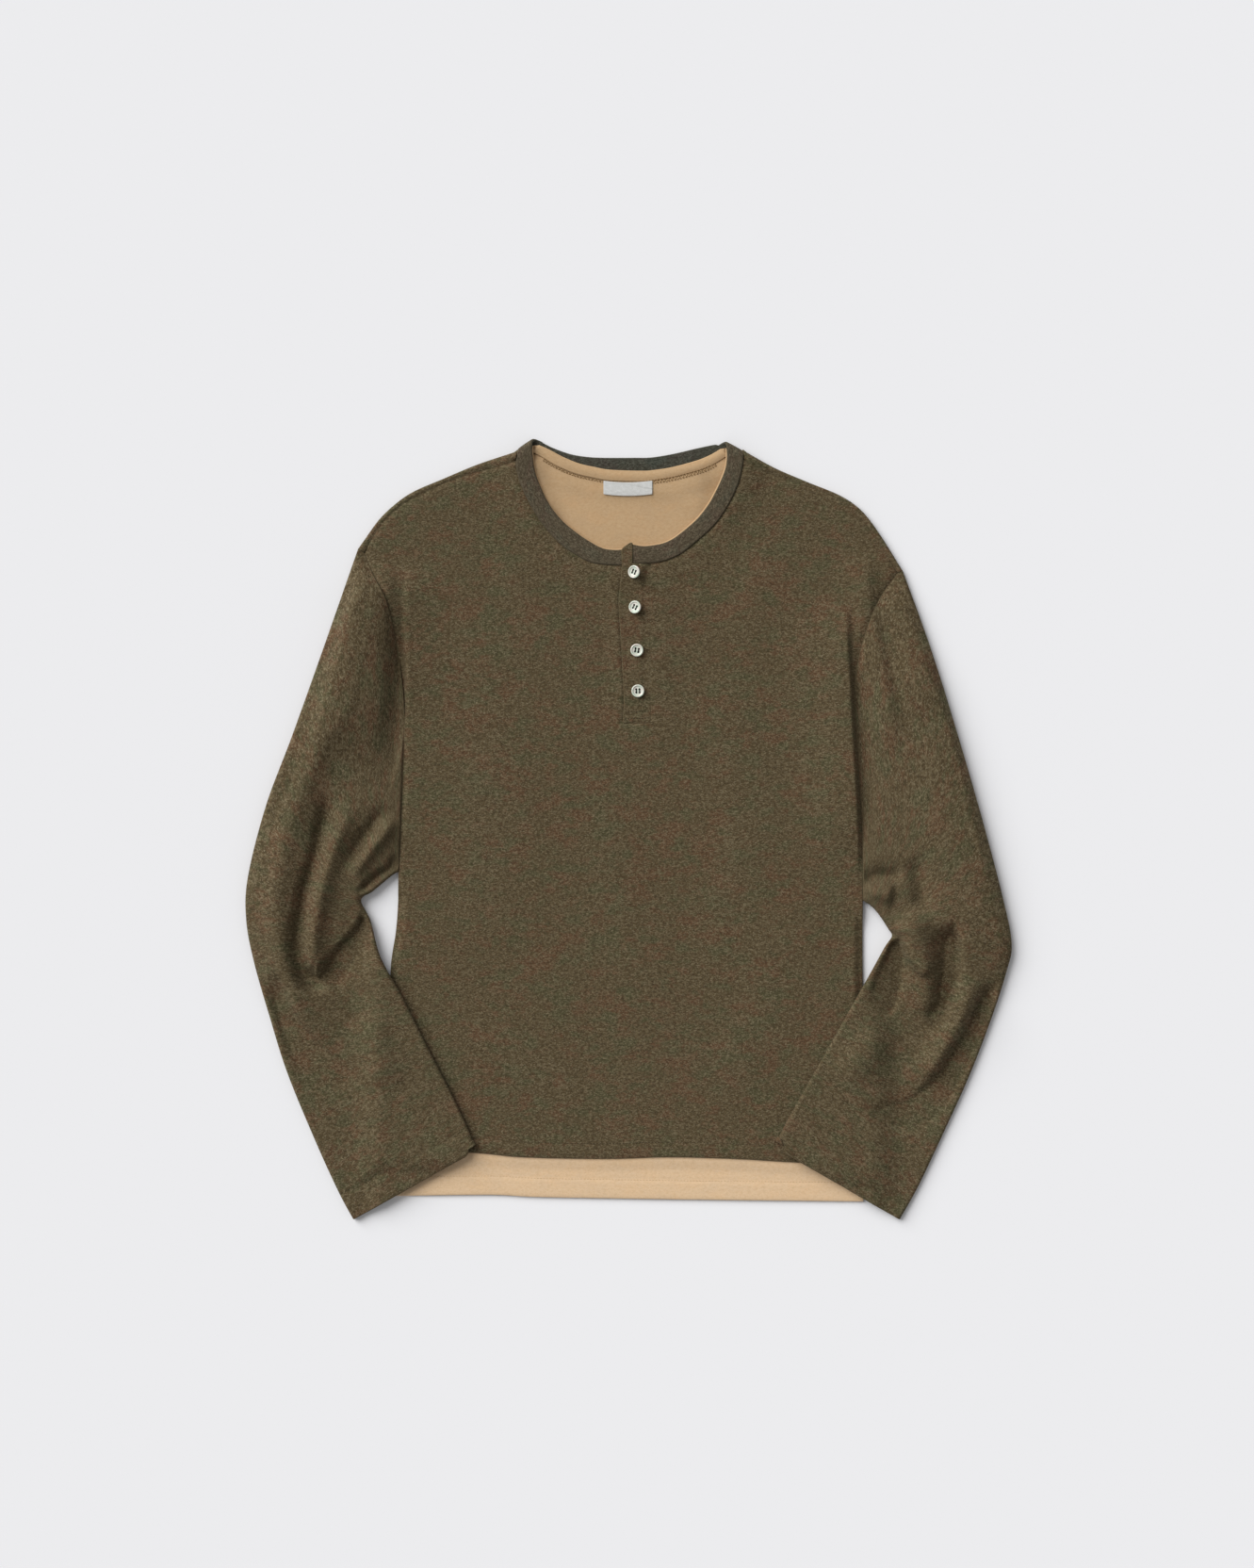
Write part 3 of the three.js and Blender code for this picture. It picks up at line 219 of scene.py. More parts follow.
# Folds: height (troughs are negative), half width to the left and to the right of their run, the shares
# over which they fade in and out, and their line
FOLDS_RIGHT = [
    (4, 40, 34, 0.25, 0.3, [(-297, 20), (-305, -30), (-306, -90), (-296, -150), (-272, -210)]),
    (5, 13, 12, 0.04, 0.25, [
        (-236, 240), (-240, 212), (-249, 183), (-260, 153), (-268, 119), (-277, 85), (-287, 51), (-299, 19),
        (-308, -8), (-315, -38), (-317, -68), (-315, -102), (-310, -132), (-302, -155), (-291, -177),
        (-268, -208),
    ]),
    (2.2, 2.6, 3.4, 0.1, 0.5, [(-234, 247), (-235.5, 228), (-240, 212), (-249, 183), (-258, 158)]),
    (-8.5, 13, 6, 0.2, 0.08, [
        (-268, 40), (-277.5, 0), (-281, -21), (-289, -47), (-295, -76), (-299, -102), (-296, -123),
        (-290, -136),
        (-280, -140), (-272, -133.5),
    ]),
    (8, 9, 12, 0.25, 0.1, [
        (-247, 32), (-257, 4), (-266, -17), (-272, -38), (-277.5, -59.5), (-282, -81), (-284, -102),
        (-283.5, -119),
        (-281, -132),
    ]),
    (-12, 15, 4, 0.2, 0.15,
     [(-234, -66), (-240, -88), (-252, -102), (-263, -114), (-272, -127), (-281, -138)]),
    (-6, 9, 6, 0.3, 0.3, [(-217, 26), (-227, 8.5), (-238, -7), (-248, -24), (-258, -40)]),
    (7, 6, 10, 0.2, 0.3, [(-212, 12), (-220, -4), (-230, -16), (-240, -30), (-252, -46)]),
    (-8, 9, 3.5, 0.2, 0.25, [(-209, -21), (-214, -34), (-226, -42), (-236, -51), (-245, -62)]),
    (-8, 6, 18, 0.2, 0.3, [
        (-318, -124), (-312, -150), (-300, -176), (-286, -195), (-274, -209), (-261, -218), (-242, -226),
    ]),
    (4, 14, 16, 0.3, 0.4, [(-240, -160), (-226, -200), (-205, -238)]),
]
FOLDS_LEFT = [
    (5, 34, 38, 0.25, 0.3, [
        (244, 200), (260, 130), (281, 60), (300, -10), (305, -80), (296, -150), (272, -215),
    ]),
    (-6, 8, 5, 0.25, 0.3, [(210, -48), (220, -44), (232, -42), (248, -44)]),
    (6, 9, 9, 0.3, 0.3, [(212, -60), (223, -58), (240, -60)]),
    (-5, 8, 9, 0.3, 0.3, [(252, -22), (261, -42), (264, -60), (261, -80)]),
    (-12, 5, 15, 0.12, 0.4, [(237, -92), (243, -106), (242, -124), (238, -146), (231, -174)]),
    (8, 10, 3.4, 0.2, 0.2, [(233, -86), (246, -106), (257, -121), (268, -134)]),
    (8, 13, 12, 0.2, 0.25, [(249, -68), (261, -106), (268, -134), (272, -158), (274, -180)]),
    (-12, 4, 15, 0.2, 0.15, [
        (289, -80), (293, -104), (292, -127), (287, -149), (282, -166), (273, -182),
    ]),
    (-9, 12, 8, 0.15, 0.3, [
        (334, -132), (320, -160), (308, -183), (296, -202), (284, -225), (272, -241), (257, -253),
        (236, -256),
        (206, -255),
    ]),
    (8, 10, 13, 0.25, 0.3, [(308, -126), (301, -161), (287, -191), (270, -217), (250, -234)]),
    (4, 16, 14, 0.3, 0.4, [(230, -176), (208, -206), (184, -234)]),
]

# Folds that run over the armhole seams, on the front and on the sleeve alike
ARMHOLE_FOLDS = [
    (12, 30, 18, 0.22, 0.4, [
        (-232, 246), (-235, 218), (-240, 190), (-246, 160), (-253, 130), (-262, 100), (-272, 70),
        (-286, 36),
    ]),
    (3.5, 8, 16, 0.2, 0.4, [
        (-222, 250), (-220, 232), (-219, 210), (-218, 188), (-219, 160), (-221, 135), (-225, 105),
        (-231, 78),
        (-239, 52),
    ]),
    (-4, 2.4, 14, 0.25, 0.3, [
        (-206, 200), (-204.5, 160), (-203.5, 123), (-204, 102), (-208, 76), (-213, 51), (-220, 26),
    ]),
    (2.4, 30, 3, 0.25, 0.3,
     [(-200, 250), (-198, 226), (-198.5, 200), (-198.5, 165), (-198, 130), (-197.5, 96)]),
    (7, 3.2, 34, 0.22, 0.25, [
        (196, 216), (195.5, 190), (196, 165), (198.5, 125), (200, 98), (202.5, 51), (205, 0), (206, -46),
    ]),
    (5, 8, 18, 0.2, 0.3, [
        (214, 256), (213, 229), (215, 200), (221, 170), (226, 144), (232, 112), (237, 84), (243, 56),
    ]),
    (-2.8, 14, 3, 0.2, 0.3, [(211, 150), (207, 119), (209, 80), (211.5, 25), (213, -20)]),
    (3.4, 20, 16, 0.2, 0.3, [(242, 222), (246, 190), (252, 160), (260, 128), (268, 96)]),
]


# Lines and heights

def clamp01(value):
    return np.clip(value, 0, 1)


def soft_step(value, start, end):
    t = clamp01((value - start) / (end - start))
    return t * t * (3 - 2 * t)


def along(line, shares):
    """Places at shares of a line's length."""
    line = np.asarray(line, float)
    run = np.r_[0, np.cumsum(np.linalg.norm(np.diff(line, axis=0), axis=1))]
    at = clamp01(np.asarray(shares, float)) * run[-1]
    return np.stack([np.interp(at, run, line[:, k]) for k in range(line.shape[1])], axis=-1)


def smooth_curve(points, t):
    """Smooth curve through a table's rows, at places counted in rows."""
    p = np.asarray(points, float)
    last = len(p) - 1
    k = np.minimum(np.asarray(t).astype(int), last - 1)
    w = (np.asarray(t) - k)[:, None]
    a, b, c, d = p[np.maximum(k - 1, 0)], p[k], p[k + 1], p[np.minimum(k + 2, last)]
    leave, arrive = (c - a) / 2, (d - b) / 2
    cubic, square = 2 * b - 2 * c + leave + arrive, 3 * c - 3 * b - 2 * leave - arrive
    return cubic * w**3 + square * w**2 + leave * w + b


def smooth_line(points, steps):
    """Even steps along the smooth curve through a table's rows."""
    rows = len(points) - 1
    fine = smooth_curve(points, np.linspace(0, rows, 40 * rows + 1))
    return along(fine, np.linspace(0, 1, steps + 1))


def offset_line(line, distance):
    """Line moved sideways: positive to the left of its run."""
    line = np.asarray(line, float)
    run = np.gradient(line, axis=0)
    run /= np.linalg.norm(run, axis=1, keepdims=True)
    return line + distance * np.stack([-run[:, 1], run[:, 0]], axis=-1)


def near(plan, line):
    """Distance from places to a line, share of the line there, and the side: +1 to the left of its run."""
    plan, line = np.asarray(plan, float)[..., :2], np.asarray(line, float)
    best = np.full(plan.shape[:-1], 1e9)
    share, side = np.zeros_like(best), np.ones_like(best)
    for i in range(len(line) - 1):
        a, run = line[i], line[i + 1] - line[i]
        t = clamp01(((plan - a) @ run) / max(run @ run, 1e-9))
        off = plan - a - t[..., None] * run
        distance = np.hypot(off[..., 0], off[..., 1])
        closer = distance < best
        best = np.where(closer, distance, best)
        share = np.where(closer, (i + t) / (len(line) - 1), share)
        side = np.where(closer, np.sign(run[0] * off[..., 1] - run[1] * off[..., 0] + 1e-12), side)
    return best, share, side


def line_height(line, x):
    line = np.asarray(line, float)
    return np.interp(x, line[:, 0], line[:, 1])


def side_place(lines, y):
    rows = np.concatenate([np.asarray(line, float) for line in lines])
    rows = rows[np.argsort(rows[:, 1])]
    return np.interp(y, rows[:, 1], rows[:, 0])


BODY_RIGHT = [smooth_line(ARMHOLE_RIGHT, 60), smooth_line(SIDE_RIGHT, 60)]
BODY_LEFT = [smooth_line(ARMHOLE_LEFT, 60), smooth_line(SIDE_LEFT, 60)]
NECK_SEAM = np.concatenate([smooth_line(SEAM_RIGHT, 48), smooth_line(SEAM_LEFT, 48)[::-1]])


def band_rise(y):
    return soft_step(y, BAND_RISE_FROM, BAND_RISE_TO)


def from_sides(plan):
    """How far places lie inside the nearer side of the body."""
    x, y = plan[..., 0], plan[..., 1]
    return np.minimum(x - side_place(BODY_RIGHT, y), side_place(BODY_LEFT, y) - x)


def front_top(plan):
    """Top of the olive front: lifted round the neck, rolled down to the back at the side seams."""
    x, y = plan[..., 0], plan[..., 1]
    edge = BAND_FRONT_HEIGHT - 0.2 + CLOTH / 2 - FRONT_TOP + BAND_SHOULDER_RISE * band_rise(y)
    lift = edge * (1 - soft_step(near(plan, NECK_SEAM)[0], 0, NECK_LIFT_REACH))
    underarm = np.where(x < 0, ARMHOLE_RIGHT[-1][1], ARMHOLE_LEFT[-1][1])
    along_side = 1 - soft_step(y, underarm - 30, underarm - 5)
    roll = SIDE_DROP * along_side * (1 - soft_step(from_sides(plan), 0, SIDE_ROLL))
    return FRONT_TOP + lift - roll


def placket_rise(plan):
    """Front beside the placket's seam side and lower end, which rises level with them."""
    x, y = plan[..., 0], plan[..., 1]
    outside = np.maximum(x - PLACKET_RIGHT, PLACKET_BOTTOM - y)
    rise = PLACKET_RISE * soft_step(outside, -0.6, 0.3) * (1 - soft_step(outside, 0, PLACKET_RISE_REACH))
    return rise * soft_step(x, -18, -3) * (1 - soft_step(y, NECK_EDGE - 22, NECK_EDGE - 4))


def tan_drop(plan):
    return INNER_BACK_BOTTOM * soft_step(line_height(OLIVE_HEM, plan[..., 0]) - plan[..., 1], 2, 14)


# Soft waves of the front as it lies, written as the folds are
FRONT_WAVES = [
    (1.3, 34, 34, 0.22, 0.22, [(-150, 210), (-120, 60), (-140, -120)]),
    (1.1, 30, 30, 0.22, 0.22, [(70, 170), (95, 20), (80, -160)]),
    (1.2, 22, 26, 0.22, 0.22, [(150, -60), (118, -170), (70, -260)]),
    (0.9, 16, 20, 0.3, 0.3, [(-120, 262), (-100, 200), (-70, 140)]),
    (0.9, 18, 14, 0.3, 0.3, [(128, 270), (110, 205), (84, 150)]),
    (1, 24, 20, 0.3, 0.3, [(-30, 60), (-10, -60), (20, -170)]),
    (1, 20, 24, 0.3, 0.3, [(-150, -150), (-90, -215), (-20, -250)]),
]
# Front cloth beside the upper placket's free edge, as it runs up to it and under it: place and rise
PLACKET_CREVICE = [(0.6, -0.7), (-1.2, 1.1), (-4, 1.2), (-7.6, 0.7)]


def folds_at(plan, folds):
    """Height of ridges and troughs, fading out at both ends of their lines."""
    total = np.zeros(plan.shape[:-1])
    for height, left, right, fade_in, fade_out, line in folds:
        low, high = np.min(line, axis=0) - 3 * max(left, right), np.max(line, axis=0) + 3 * max(left, right)
        close = np.all((plan > low) & (plan < high), axis=-1)
        if not close.any():
            continue
        distance, share, side = near(plan[close], smooth_line(line, 5 * len(line)))
        width = np.where(side > 0, left, right)
        ends = soft_step(share, 0, fade_in) * (1 - soft_step(share, 1 - fade_out, 1))
        total[close] += height * ends * np.exp(-((distance / width) ** 2))
    return total


def groove(distance, depth, width):
    return -depth * np.exp(-((distance / width) ** 2))


def hem_relief(distance, stitch):
    """Doubled hem: a little fuller below its stitch row, which sinks into the cloth."""
    fuller = 0.35 * (1 - soft_step(distance, stitch - 1.5, stitch + 2)) * soft_step(distance, -1, 3)
    return fuller + groove(distance - stitch, 0.45, 1.4)


def front_height(plan):
    """Front as it shows: its top, the soft waves, the hem and the sinking seams."""
    above_hem = plan[..., 1] - line_height(OLIVE_HEM, plan[..., 0])
    inside = from_sides(plan)
    away = soft_step(inside, 0, 30) * soft_step(above_hem, 0, 30)
    waves = folds_at(plan, FRONT_WAVES) * away
    seams = groove(np.maximum(inside, 0), 1.5, 3) * soft_step(plan[..., 1], -60, -30)
    at_band = groove(near(plan, NECK_SEAM)[0], 0.9, 2.2) * (1 - 0.4 * (plan[..., 0] < 0))
    x, y = plan[..., 0], plan[..., 1]
    sunk = soft_step(x, -7, -3) * (1 - soft_step(x, PLACKET_RIGHT - 2, PLACKET_RIGHT + 2))
    sunk = PLACKET_SINK * sunk * soft_step(y, PLACKET_BOTTOM - 3, PLACKET_BOTTOM + 1)
    sunk = sunk * (1 - soft_step(y, 112, 122))
    folds = folds_at(plan, ARMHOLE_FOLDS) * (1 - soft_step(plan[..., 1], 236, 262))
    hem = hem_relief(above_hem, OLIVE_HEM_STITCH)
    return front_top(plan) + waves + folds + hem + seams + at_band + placket_rise(plan) - sunk


# Meshes

def vertex_normals(points, quads):
    across = points[quads[:, 2]] - points[quads[:, 0]]
    up = points[quads[:, 3]] - points[quads[:, 1]]
    face = np.cross(across, up)
    normals = np.zeros_like(points)
    for k in range(4):
        np.add.at(normals, quads[:, k], face)
    return normals / np.maximum(np.linalg.norm(normals, axis=1, keepdims=True), 1e-12)


def grid_quads(rows, columns, ring=False):
    """Quads over a grid of places, joined round from the last column to the first where it is a ring."""
    i, j = np.meshgrid(np.arange(rows - 1), np.arange(columns if ring else columns - 1), indexing="ij")
    i, j = i.ravel(), j.ravel()
    after = (j + 1) % columns
    return np.stack(
        [i * columns + j, i * columns + after, (i + 1) * columns + after, (i + 1) * columns + j], axis=-1
    )


def shell(points, quads, thickness, rim_steps=5):
    """Closed wall of cloth behind a sheet of quads, with rounded edges: places, quads and source rows."""
    used = np.unique(quads)
    renumber = np.zeros(len(points), int)
    renumber[used] = np.arange(len(used))
    points, quads = points[used], renumber[quads]
    normals = vertex_normals(points, quads)
    count = len(points)
    edges = np.concatenate([quads[:, [k, (k + 1) % 4]] for k in range(4)])
    keys = edges.min(axis=1) * count + edges.max(axis=1)
    _, place, times = np.unique(keys, return_index=True, return_counts=True)
    border = edges[place[times == 1]]
    ids = np.unique(border)
    local = np.zeros(count, int)
    local[ids] = np.arange(len(ids))
    run = points[border[:, 1]] - points[border[:, 0]]
    outward = np.zeros_like(points)
    for k in range(2):
        np.add.at(outward, border[:, k], np.cross(run, normals[border[:, k]]))
    outward = outward[ids]
    outward /= np.maximum(np.linalg.norm(outward, axis=1, keepdims=True), 1e-12)
    half = thickness / 2
    layers = [points, points - normals * thickness]
    sources = [used, used]
    rings = [ids]
    for k in range(1, rim_steps):
        angle = math.pi * k / rim_steps
        layers.append(
            points[ids] - normals[ids] * half * (1 - math.cos(angle)) + outward * half * math.sin(angle)
        )
        rings.append(2 * count + (k - 1) * len(ids) + np.arange(len(ids)))
        sources.append(used[ids])
    rings.append(ids + count)
    faces = [quads, quads[:, ::-1] + count]
    a, b = local[border[:, 0]], local[border[:, 1]]
    for upper, lower in zip(rings[:-1], rings[1:]):
        faces.append(np.stack([upper[b], upper[a], lower[a], lower[b]], axis=-1))
    return np.concatenate(layers), np.concatenate(faces), np.concatenate(sources)


def make_piece(name, points, quads, place=None):
    """Object from places in millimetres; place holds the grain coordinates of its cloth."""
    mesh = bpy.data.meshes.new(name)
    mesh.vertices.add(len(points))
    mesh.vertices.foreach_set("co", (np.asarray(points) * MM).astype(np.float32).ravel())
    mesh.loops.add(quads.size)
    mesh.loops.foreach_set("vertex_index", quads.astype(np.int32).ravel())
    mesh.polygons.add(len(quads))
    mesh.polygons.foreach_set("loop_start", np.arange(0, quads.size, quads.shape[1], dtype=np.int32))
    mesh.update(calc_edges=True)
    mesh.validate()
    mesh.polygons.foreach_set("use_smooth", np.ones(len(quads), bool))
    if place is not None:
        grain = mesh.attributes.new("cloth_place", "FLOAT_VECTOR", "POINT")
        grain.data.foreach_set("vector", (np.asarray(place) * MM).astype(np.float32).ravel())
    piece = bpy.data.objects.new(name, mesh)
    scene.collection.objects.link(piece)
    return piece


def cloth_piece(name, points, quads, thickness, place):
    walls, faces, source = shell(points, quads, thickness)
    grain = np.asarray(place)[source].copy()
    grain[len(np.unique(quads)):, 2] += 40
    return make_piece(name, walls, faces, grain)


# Panels

NECK_FROM = 0.265
SIDE_REACH = 0.33


def panel_columns(edge_steps, shoulder_steps, neck_steps):
    """Shares of a panel's width: fine at its sides, then even to the neck points and across the neck."""
    side = np.r_[np.linspace(0, 0.022, edge_steps + 1), np.linspace(0.022, NECK_FROM, shoulder_steps + 1)[1:]]
    neck = np.linspace(NECK_FROM, 1 - NECK_FROM, neck_steps + 1)[1:-1]
    return np.r_[side, neck, 1 - side[::-1]]


def shoulder_at(table, shares):
    """Outline place, outward direction and seam distance at shares from the shoulder's tip to the neck."""
    line = smooth_line([row[:2] for row in table], 60)
    run = np.gradient(line, axis=0)
    run /= np.linalg.norm(run, axis=1, keepdims=True)
    side = np.sign(table[0][0])
    out = np.stack([-run[:, 1] * side, run[:, 0] * side], axis=-1)
    place = (1 - np.asarray(shares)) * 60
    pick = lambda values: np.stack([np.interp(place, np.arange(61), values[:, k]) for k in range(2)], axis=-1)
    seam = np.interp(place / 60 * (len(table) - 1), np.arange(len(table)), [row[2] for row in table])
    out = pick(out)
    return pick(line), out / np.linalg.norm(out, axis=1, keepdims=True), seam


def top_edge(columns, inset, neck):
    """Top of a panel: shoulders at a distance inside their outline, and the neck line between them."""
    right, left = columns < NECK_FROM - 1e-9, columns > 1 - NECK_FROM + 1e-9
    edge = along(neck, (columns - NECK_FROM) / (1 - 2 * NECK_FROM))
    for part, table, shares in (
        (right, SHOULDER_RIGHT, columns[right] / NECK_FROM),
        (left, SHOULDER_LEFT, (1 - columns[left]) / NECK_FROM),
    ):
        point, out, seam = shoulder_at(table, shares)
        edge[part] = point - out * inset(point, out, seam)[:, None]
    return edge


def shoulder_end(table, share, inset):
    point, out, seam = shoulder_at(table, np.array([share]))
    return (point - out * inset(point, out, seam)[:, None])[0]


def shoulder_line(table, inset, corner):
    """Line inside a shoulder's outline, from its tip to the corner's x."""
    point, out, seam = shoulder_at(table, np.linspace(0, 1, 400))
    line = point - out * inset(point, out, seam)[:, None]
    return line[abs(line[:, 0]) >= abs(corner)]


def panel_grid(hem, top, right, left, columns, rows):
    """Plan of a panel: columns run straight from hem to top, and those near a side bend with it."""
    hem_line = along(hem, columns)
    sides = [along(right, rows), along(left, rows)]
    v = rows[:, None, None]
    plan = hem_line[None] * (1 - v) + top[None] * v
    bends = [side[:, None] - plan[:, [end]] for side, end in zip(sides, (0, -1))]
    weights = [1 - soft_step(columns, 0, SIDE_REACH), 1 - soft_step(1 - columns, 0, SIDE_REACH)]
    return plan + bends[0] * weights[0][None, :, None] + bends[1] * weights[1][None, :, None]


def side_edge(side, armhole, end):
    return np.concatenate([smooth_line(side, 50)[::-1], smooth_line(armhole, 60)[::-1][1:], [end]])


def beside_band(plan):
    """Keeps the shoulders' neck ends beside the neckband."""
    x, y = plan[..., 0], plan[..., 1]
    right, left = (np.interp(y, *np.transpose(edge)) for edge in (BAND_EDGE_RIGHT, BAND_EDGE_LEFT))
    high = y > BAND_EDGE_RIGHT[0][0]
    kept = np.where(high & (x < 0), np.minimum(x, right), np.where(high & (x > 0), np.maximum(x, left), x))
    return np.stack([kept, y], axis=-1)


def roll_radius(point, out, seam):
    at_seam = point - out * (seam + GAP)[:, None]
    return (front_top(at_seam) - CLOTH) / 2


def with_height(plan, height):
    return np.concatenate([plan, np.asarray(height)[..., None]], axis=-1)


def make_front():
    columns = panel_columns(8, 58, 72)
    rows = np.r_[np.linspace(0, 0.06, 16), np.linspace(0.06, 0.96, 162)[1:], np.linspace(0.96, 1, 12)[1:]]
    inset = lambda point, out, seam: seam + SEAM_GAP
    shoulders = [
        shoulder_line(table, inset, corner)
        for table, corner in zip((SHOULDER_RIGHT, SHOULDER_LEFT), FRONT_CORNERS)
    ]
    neck = np.concatenate([
        shoulders[0][-1:], offset_line(smooth_line(SEAM_RIGHT, 60), -SEAM_GAP),
        offset_line(smooth_line(SEAM_LEFT, 60), SEAM_GAP)[::-1], shoulders[1][-1:],
    ])
    top = along(neck, (columns - NECK_FROM) / (1 - 2 * NECK_FROM))
    on_right, on_left = columns < NECK_FROM - 1e-9, columns > 1 - NECK_FROM + 1e-9
    top[on_right] = along(shoulders[0], columns[on_right] / NECK_FROM)
    top[on_left] = along(shoulders[1], (1 - columns[on_left]) / NECK_FROM)
    plan = panel_grid(
        smooth_line(OLIVE_HEM, 120),
        top,
        side_edge(SIDE_RIGHT, ARMHOLE_RIGHT, shoulders[0][0]),
        side_edge(SIDE_LEFT, ARMHOLE_LEFT, shoulders[1][0]),
        columns,
        rows,
    )
    # The window's sides and bottom fall on lines of the grid, and its cells are left out
    middle = plan[140]
    first = int(np.argmin(abs(middle[:, 0] - WINDOW_LEFT)))
    last = int(np.argmin(abs(middle[:, 0] - WINDOW_RIGHT)))
    base = int(np.argmin(abs(plan[:, (first + last) // 2, 1] - WINDOW_BOTTOM)))
    near_top = soft_step(plan[..., 1], WINDOW_BOTTOM - 60, WINDOW_BOTTOM - 10)
    for index, value in ((first, WINDOW_LEFT), (last, WINDOW_RIGHT)):
        shift = (value - plan[:, index, 0]) * near_top[:, index]
        for k in range(-3, 4):
            plan[:, index + k, 0] += shift * (1 - abs(k) / 4)
    shift = WINDOW_BOTTOM - plan[base, first - 12:last + 13, 1]
    fade = np.minimum(1, np.minimum(np.arange(len(shift)), np.arange(len(shift))[::-1]) / 8)
    for k in range(-4, 5):
        plan[base + k, first - 12:last + 13, 1] += shift * fade * (1 - abs(k) / 5)
    placket_y, placket_x = np.transpose(PLACKET_ROWS)[:2]
    free_edge = np.interp(plan[:, first, 1], placket_y, placket_x)
    beside = soft_step(plan[:, first, 1], PLACKET_BOTTOM - 6, PLACKET_BOTTOM + 6)
    beside *= 1 - soft_step(plan[:, first, 1], NECK_EDGE - 24, NECK_EDGE - 4)
    crevice = np.zeros(plan.shape[:-1])
    for k, (away, rise) in enumerate(PLACKET_CREVICE, start=1):
        plan[:, first - k, 0] += (free_edge + away - plan[:, first - k, 0]) * beside
        crevice[:, first - k] = rise * beside
    from_top = np.linalg.norm(plan[-1] - plan, axis=-1)
    seam_dip = groove(from_top, 1.1, 2.4) * (on_right | on_left)[None]
    grid = with_height(plan, front_height(plan) + seam_dip + crevice)
    quads = grid_quads(len(rows), len(columns))
    cell_row, cell_column = quads[:, 0] // len(columns), quads[:, 0] % len(columns)
    window = (cell_row >= base) & (cell_column >= first) & (cell_column < last)
    points = grid.reshape(-1, 3)
    return cloth_piece("front_cloth", points, quads[~window], CLOTH, points)


def make_back():
    """Back from below: flat on the surface, and rolled over both shoulders to the seams on the front."""
    ARC_STEPS = 12
    RUN_STEPS = 3
    columns = panel_columns(3, 30, 60)
    rows = np.r_[np.linspace(0, 0.06, 12), np.linspace(0.06, 0.97, 130)[1:], np.linspace(0.97, 1, 8)[1:]]
    inset = lambda point, out, seam: roll_radius(point, out, seam) + CLOTH / 2
    ends = [shoulder_end(table, 1, inset) for table in (SHOULDER_RIGHT, SHOULDER_LEFT)]
    tips = [shoulder_end(table, 0, inset) for table in (SHOULDER_RIGHT, SHOULDER_LEFT)]
    neck = offset_line(smooth_line([ends[0], *BACK_SEAM, ends[1]], 160), -SEAM_GAP)
    plan = panel_grid(
        smooth_line(OLIVE_HEM, 120),
        top_edge(columns, inset, neck),
        side_edge(SIDE_RIGHT, offset_line(ARMHOLE_RIGHT, SEAM_GAP), tips[0]),
        side_edge(SIDE_LEFT, offset_line(ARMHOLE_LEFT, -SEAM_GAP), tips[1]),
        columns,
        rows,
    )
    above_hem = plan[..., 1] - line_height(OLIVE_HEM, plan[..., 0])
    grid = with_height(plan, np.maximum(0, -groove(above_hem - OLIVE_HEM_STITCH, 0.4, 1.4)))
    points = [grid.reshape(-1, 3)]
    quads = [grid_quads(len(rows), len(columns))[:, ::-1]]
    count = grid.shape[0] * grid.shape[1]
    top_row = (len(rows) - 1) * len(columns)
    shoulder_columns = int(np.sum(columns < NECK_FROM - 1e-9)) + 1
    for table, picks in (
        (SHOULDER_RIGHT, np.arange(shoulder_columns)),
        (SHOULDER_LEFT, np.arange(len(columns) - shoulder_columns, len(columns))),
    ):
        shares = np.minimum(columns[picks], 1 - columns[picks]) / NECK_FROM
        point, out, seam = shoulder_at(table, shares)
        radius = roll_radius(point, out, seam)
        centre = radius + CLOTH / 2
        strips = []
        for k in range(1, ARC_STEPS + RUN_STEPS + 1):
            angle = (min(k, ARC_STEPS) / ARC_STEPS - 0.5) * math.pi
            inward = centre - centre * math.cos(angle)
            if k > ARC_STEPS:
                inward = centre + (k - ARC_STEPS) / RUN_STEPS * np.maximum(seam - centre, 0.4)
            dip = groove(np.maximum(seam - inward, 0), 1, 1.8) if k > ARC_STEPS - 3 else 0
            height = centre + centre * math.sin(angle) + dip
            spot = beside_band(point - out * np.reshape(inward, (-1, 1)))
            strips.append(with_height(spot, height * np.ones(len(picks))))
        strip = np.concatenate(strips)
        points.append(strip)
        ids = np.concatenate([[top_row + picks], count + np.arange(len(strip)).reshape(-1, len(picks))])
        count += len(strip)
        for lower, upper in zip(ids[:-1], ids[1:]):
            quads.append(np.stack([upper[:-1], upper[1:], lower[1:], lower[:-1]], axis=-1))
    points = np.concatenate(points)
    return cloth_piece("back_cloth", points, np.concatenate(quads), CLOTH, points)


# Neckbands

def turn_stations(turn, back_height, front_height, free, seam, steps=16):
    """Run of a band over a shoulder: seam, free edge, height, turned angle and outward direction."""
    start, end = np.array(turn["seam"]), np.array(turn["free"])
    run = (end - start) / np.linalg.norm(end - start)
    outward = np.array([-run[1], run[0]]) * (1 if run[0] > 0 else -1)
    outer_radius = (BAND_FRONT_HEIGHT + BAND_SHOULDER_RISE - BAND_BACK_HEIGHT) / 2
    inset = outer_radius + BAND_THICKNESS / 2
    radius = (front_height - back_height) / 2
    stations = []
    for angle in np.linspace(0, math.pi, steps + 1):
        shift = (angle / math.pi - 0.5) * math.pi * outer_radius * math.tan(math.radians(turn["slant"]))
        base = start + outward * (radius * math.sin(angle) - inset)
        stations.append((
            base + run * (seam + shift), base + run * (free + shift),
            (front_height + back_height) / 2 + radius * math.cos(angle), angle, outward,
        ))
    return stations


def turn_width(turn):
    return float(np.linalg.norm(np.array(turn["free"]) - np.array(turn["seam"])))


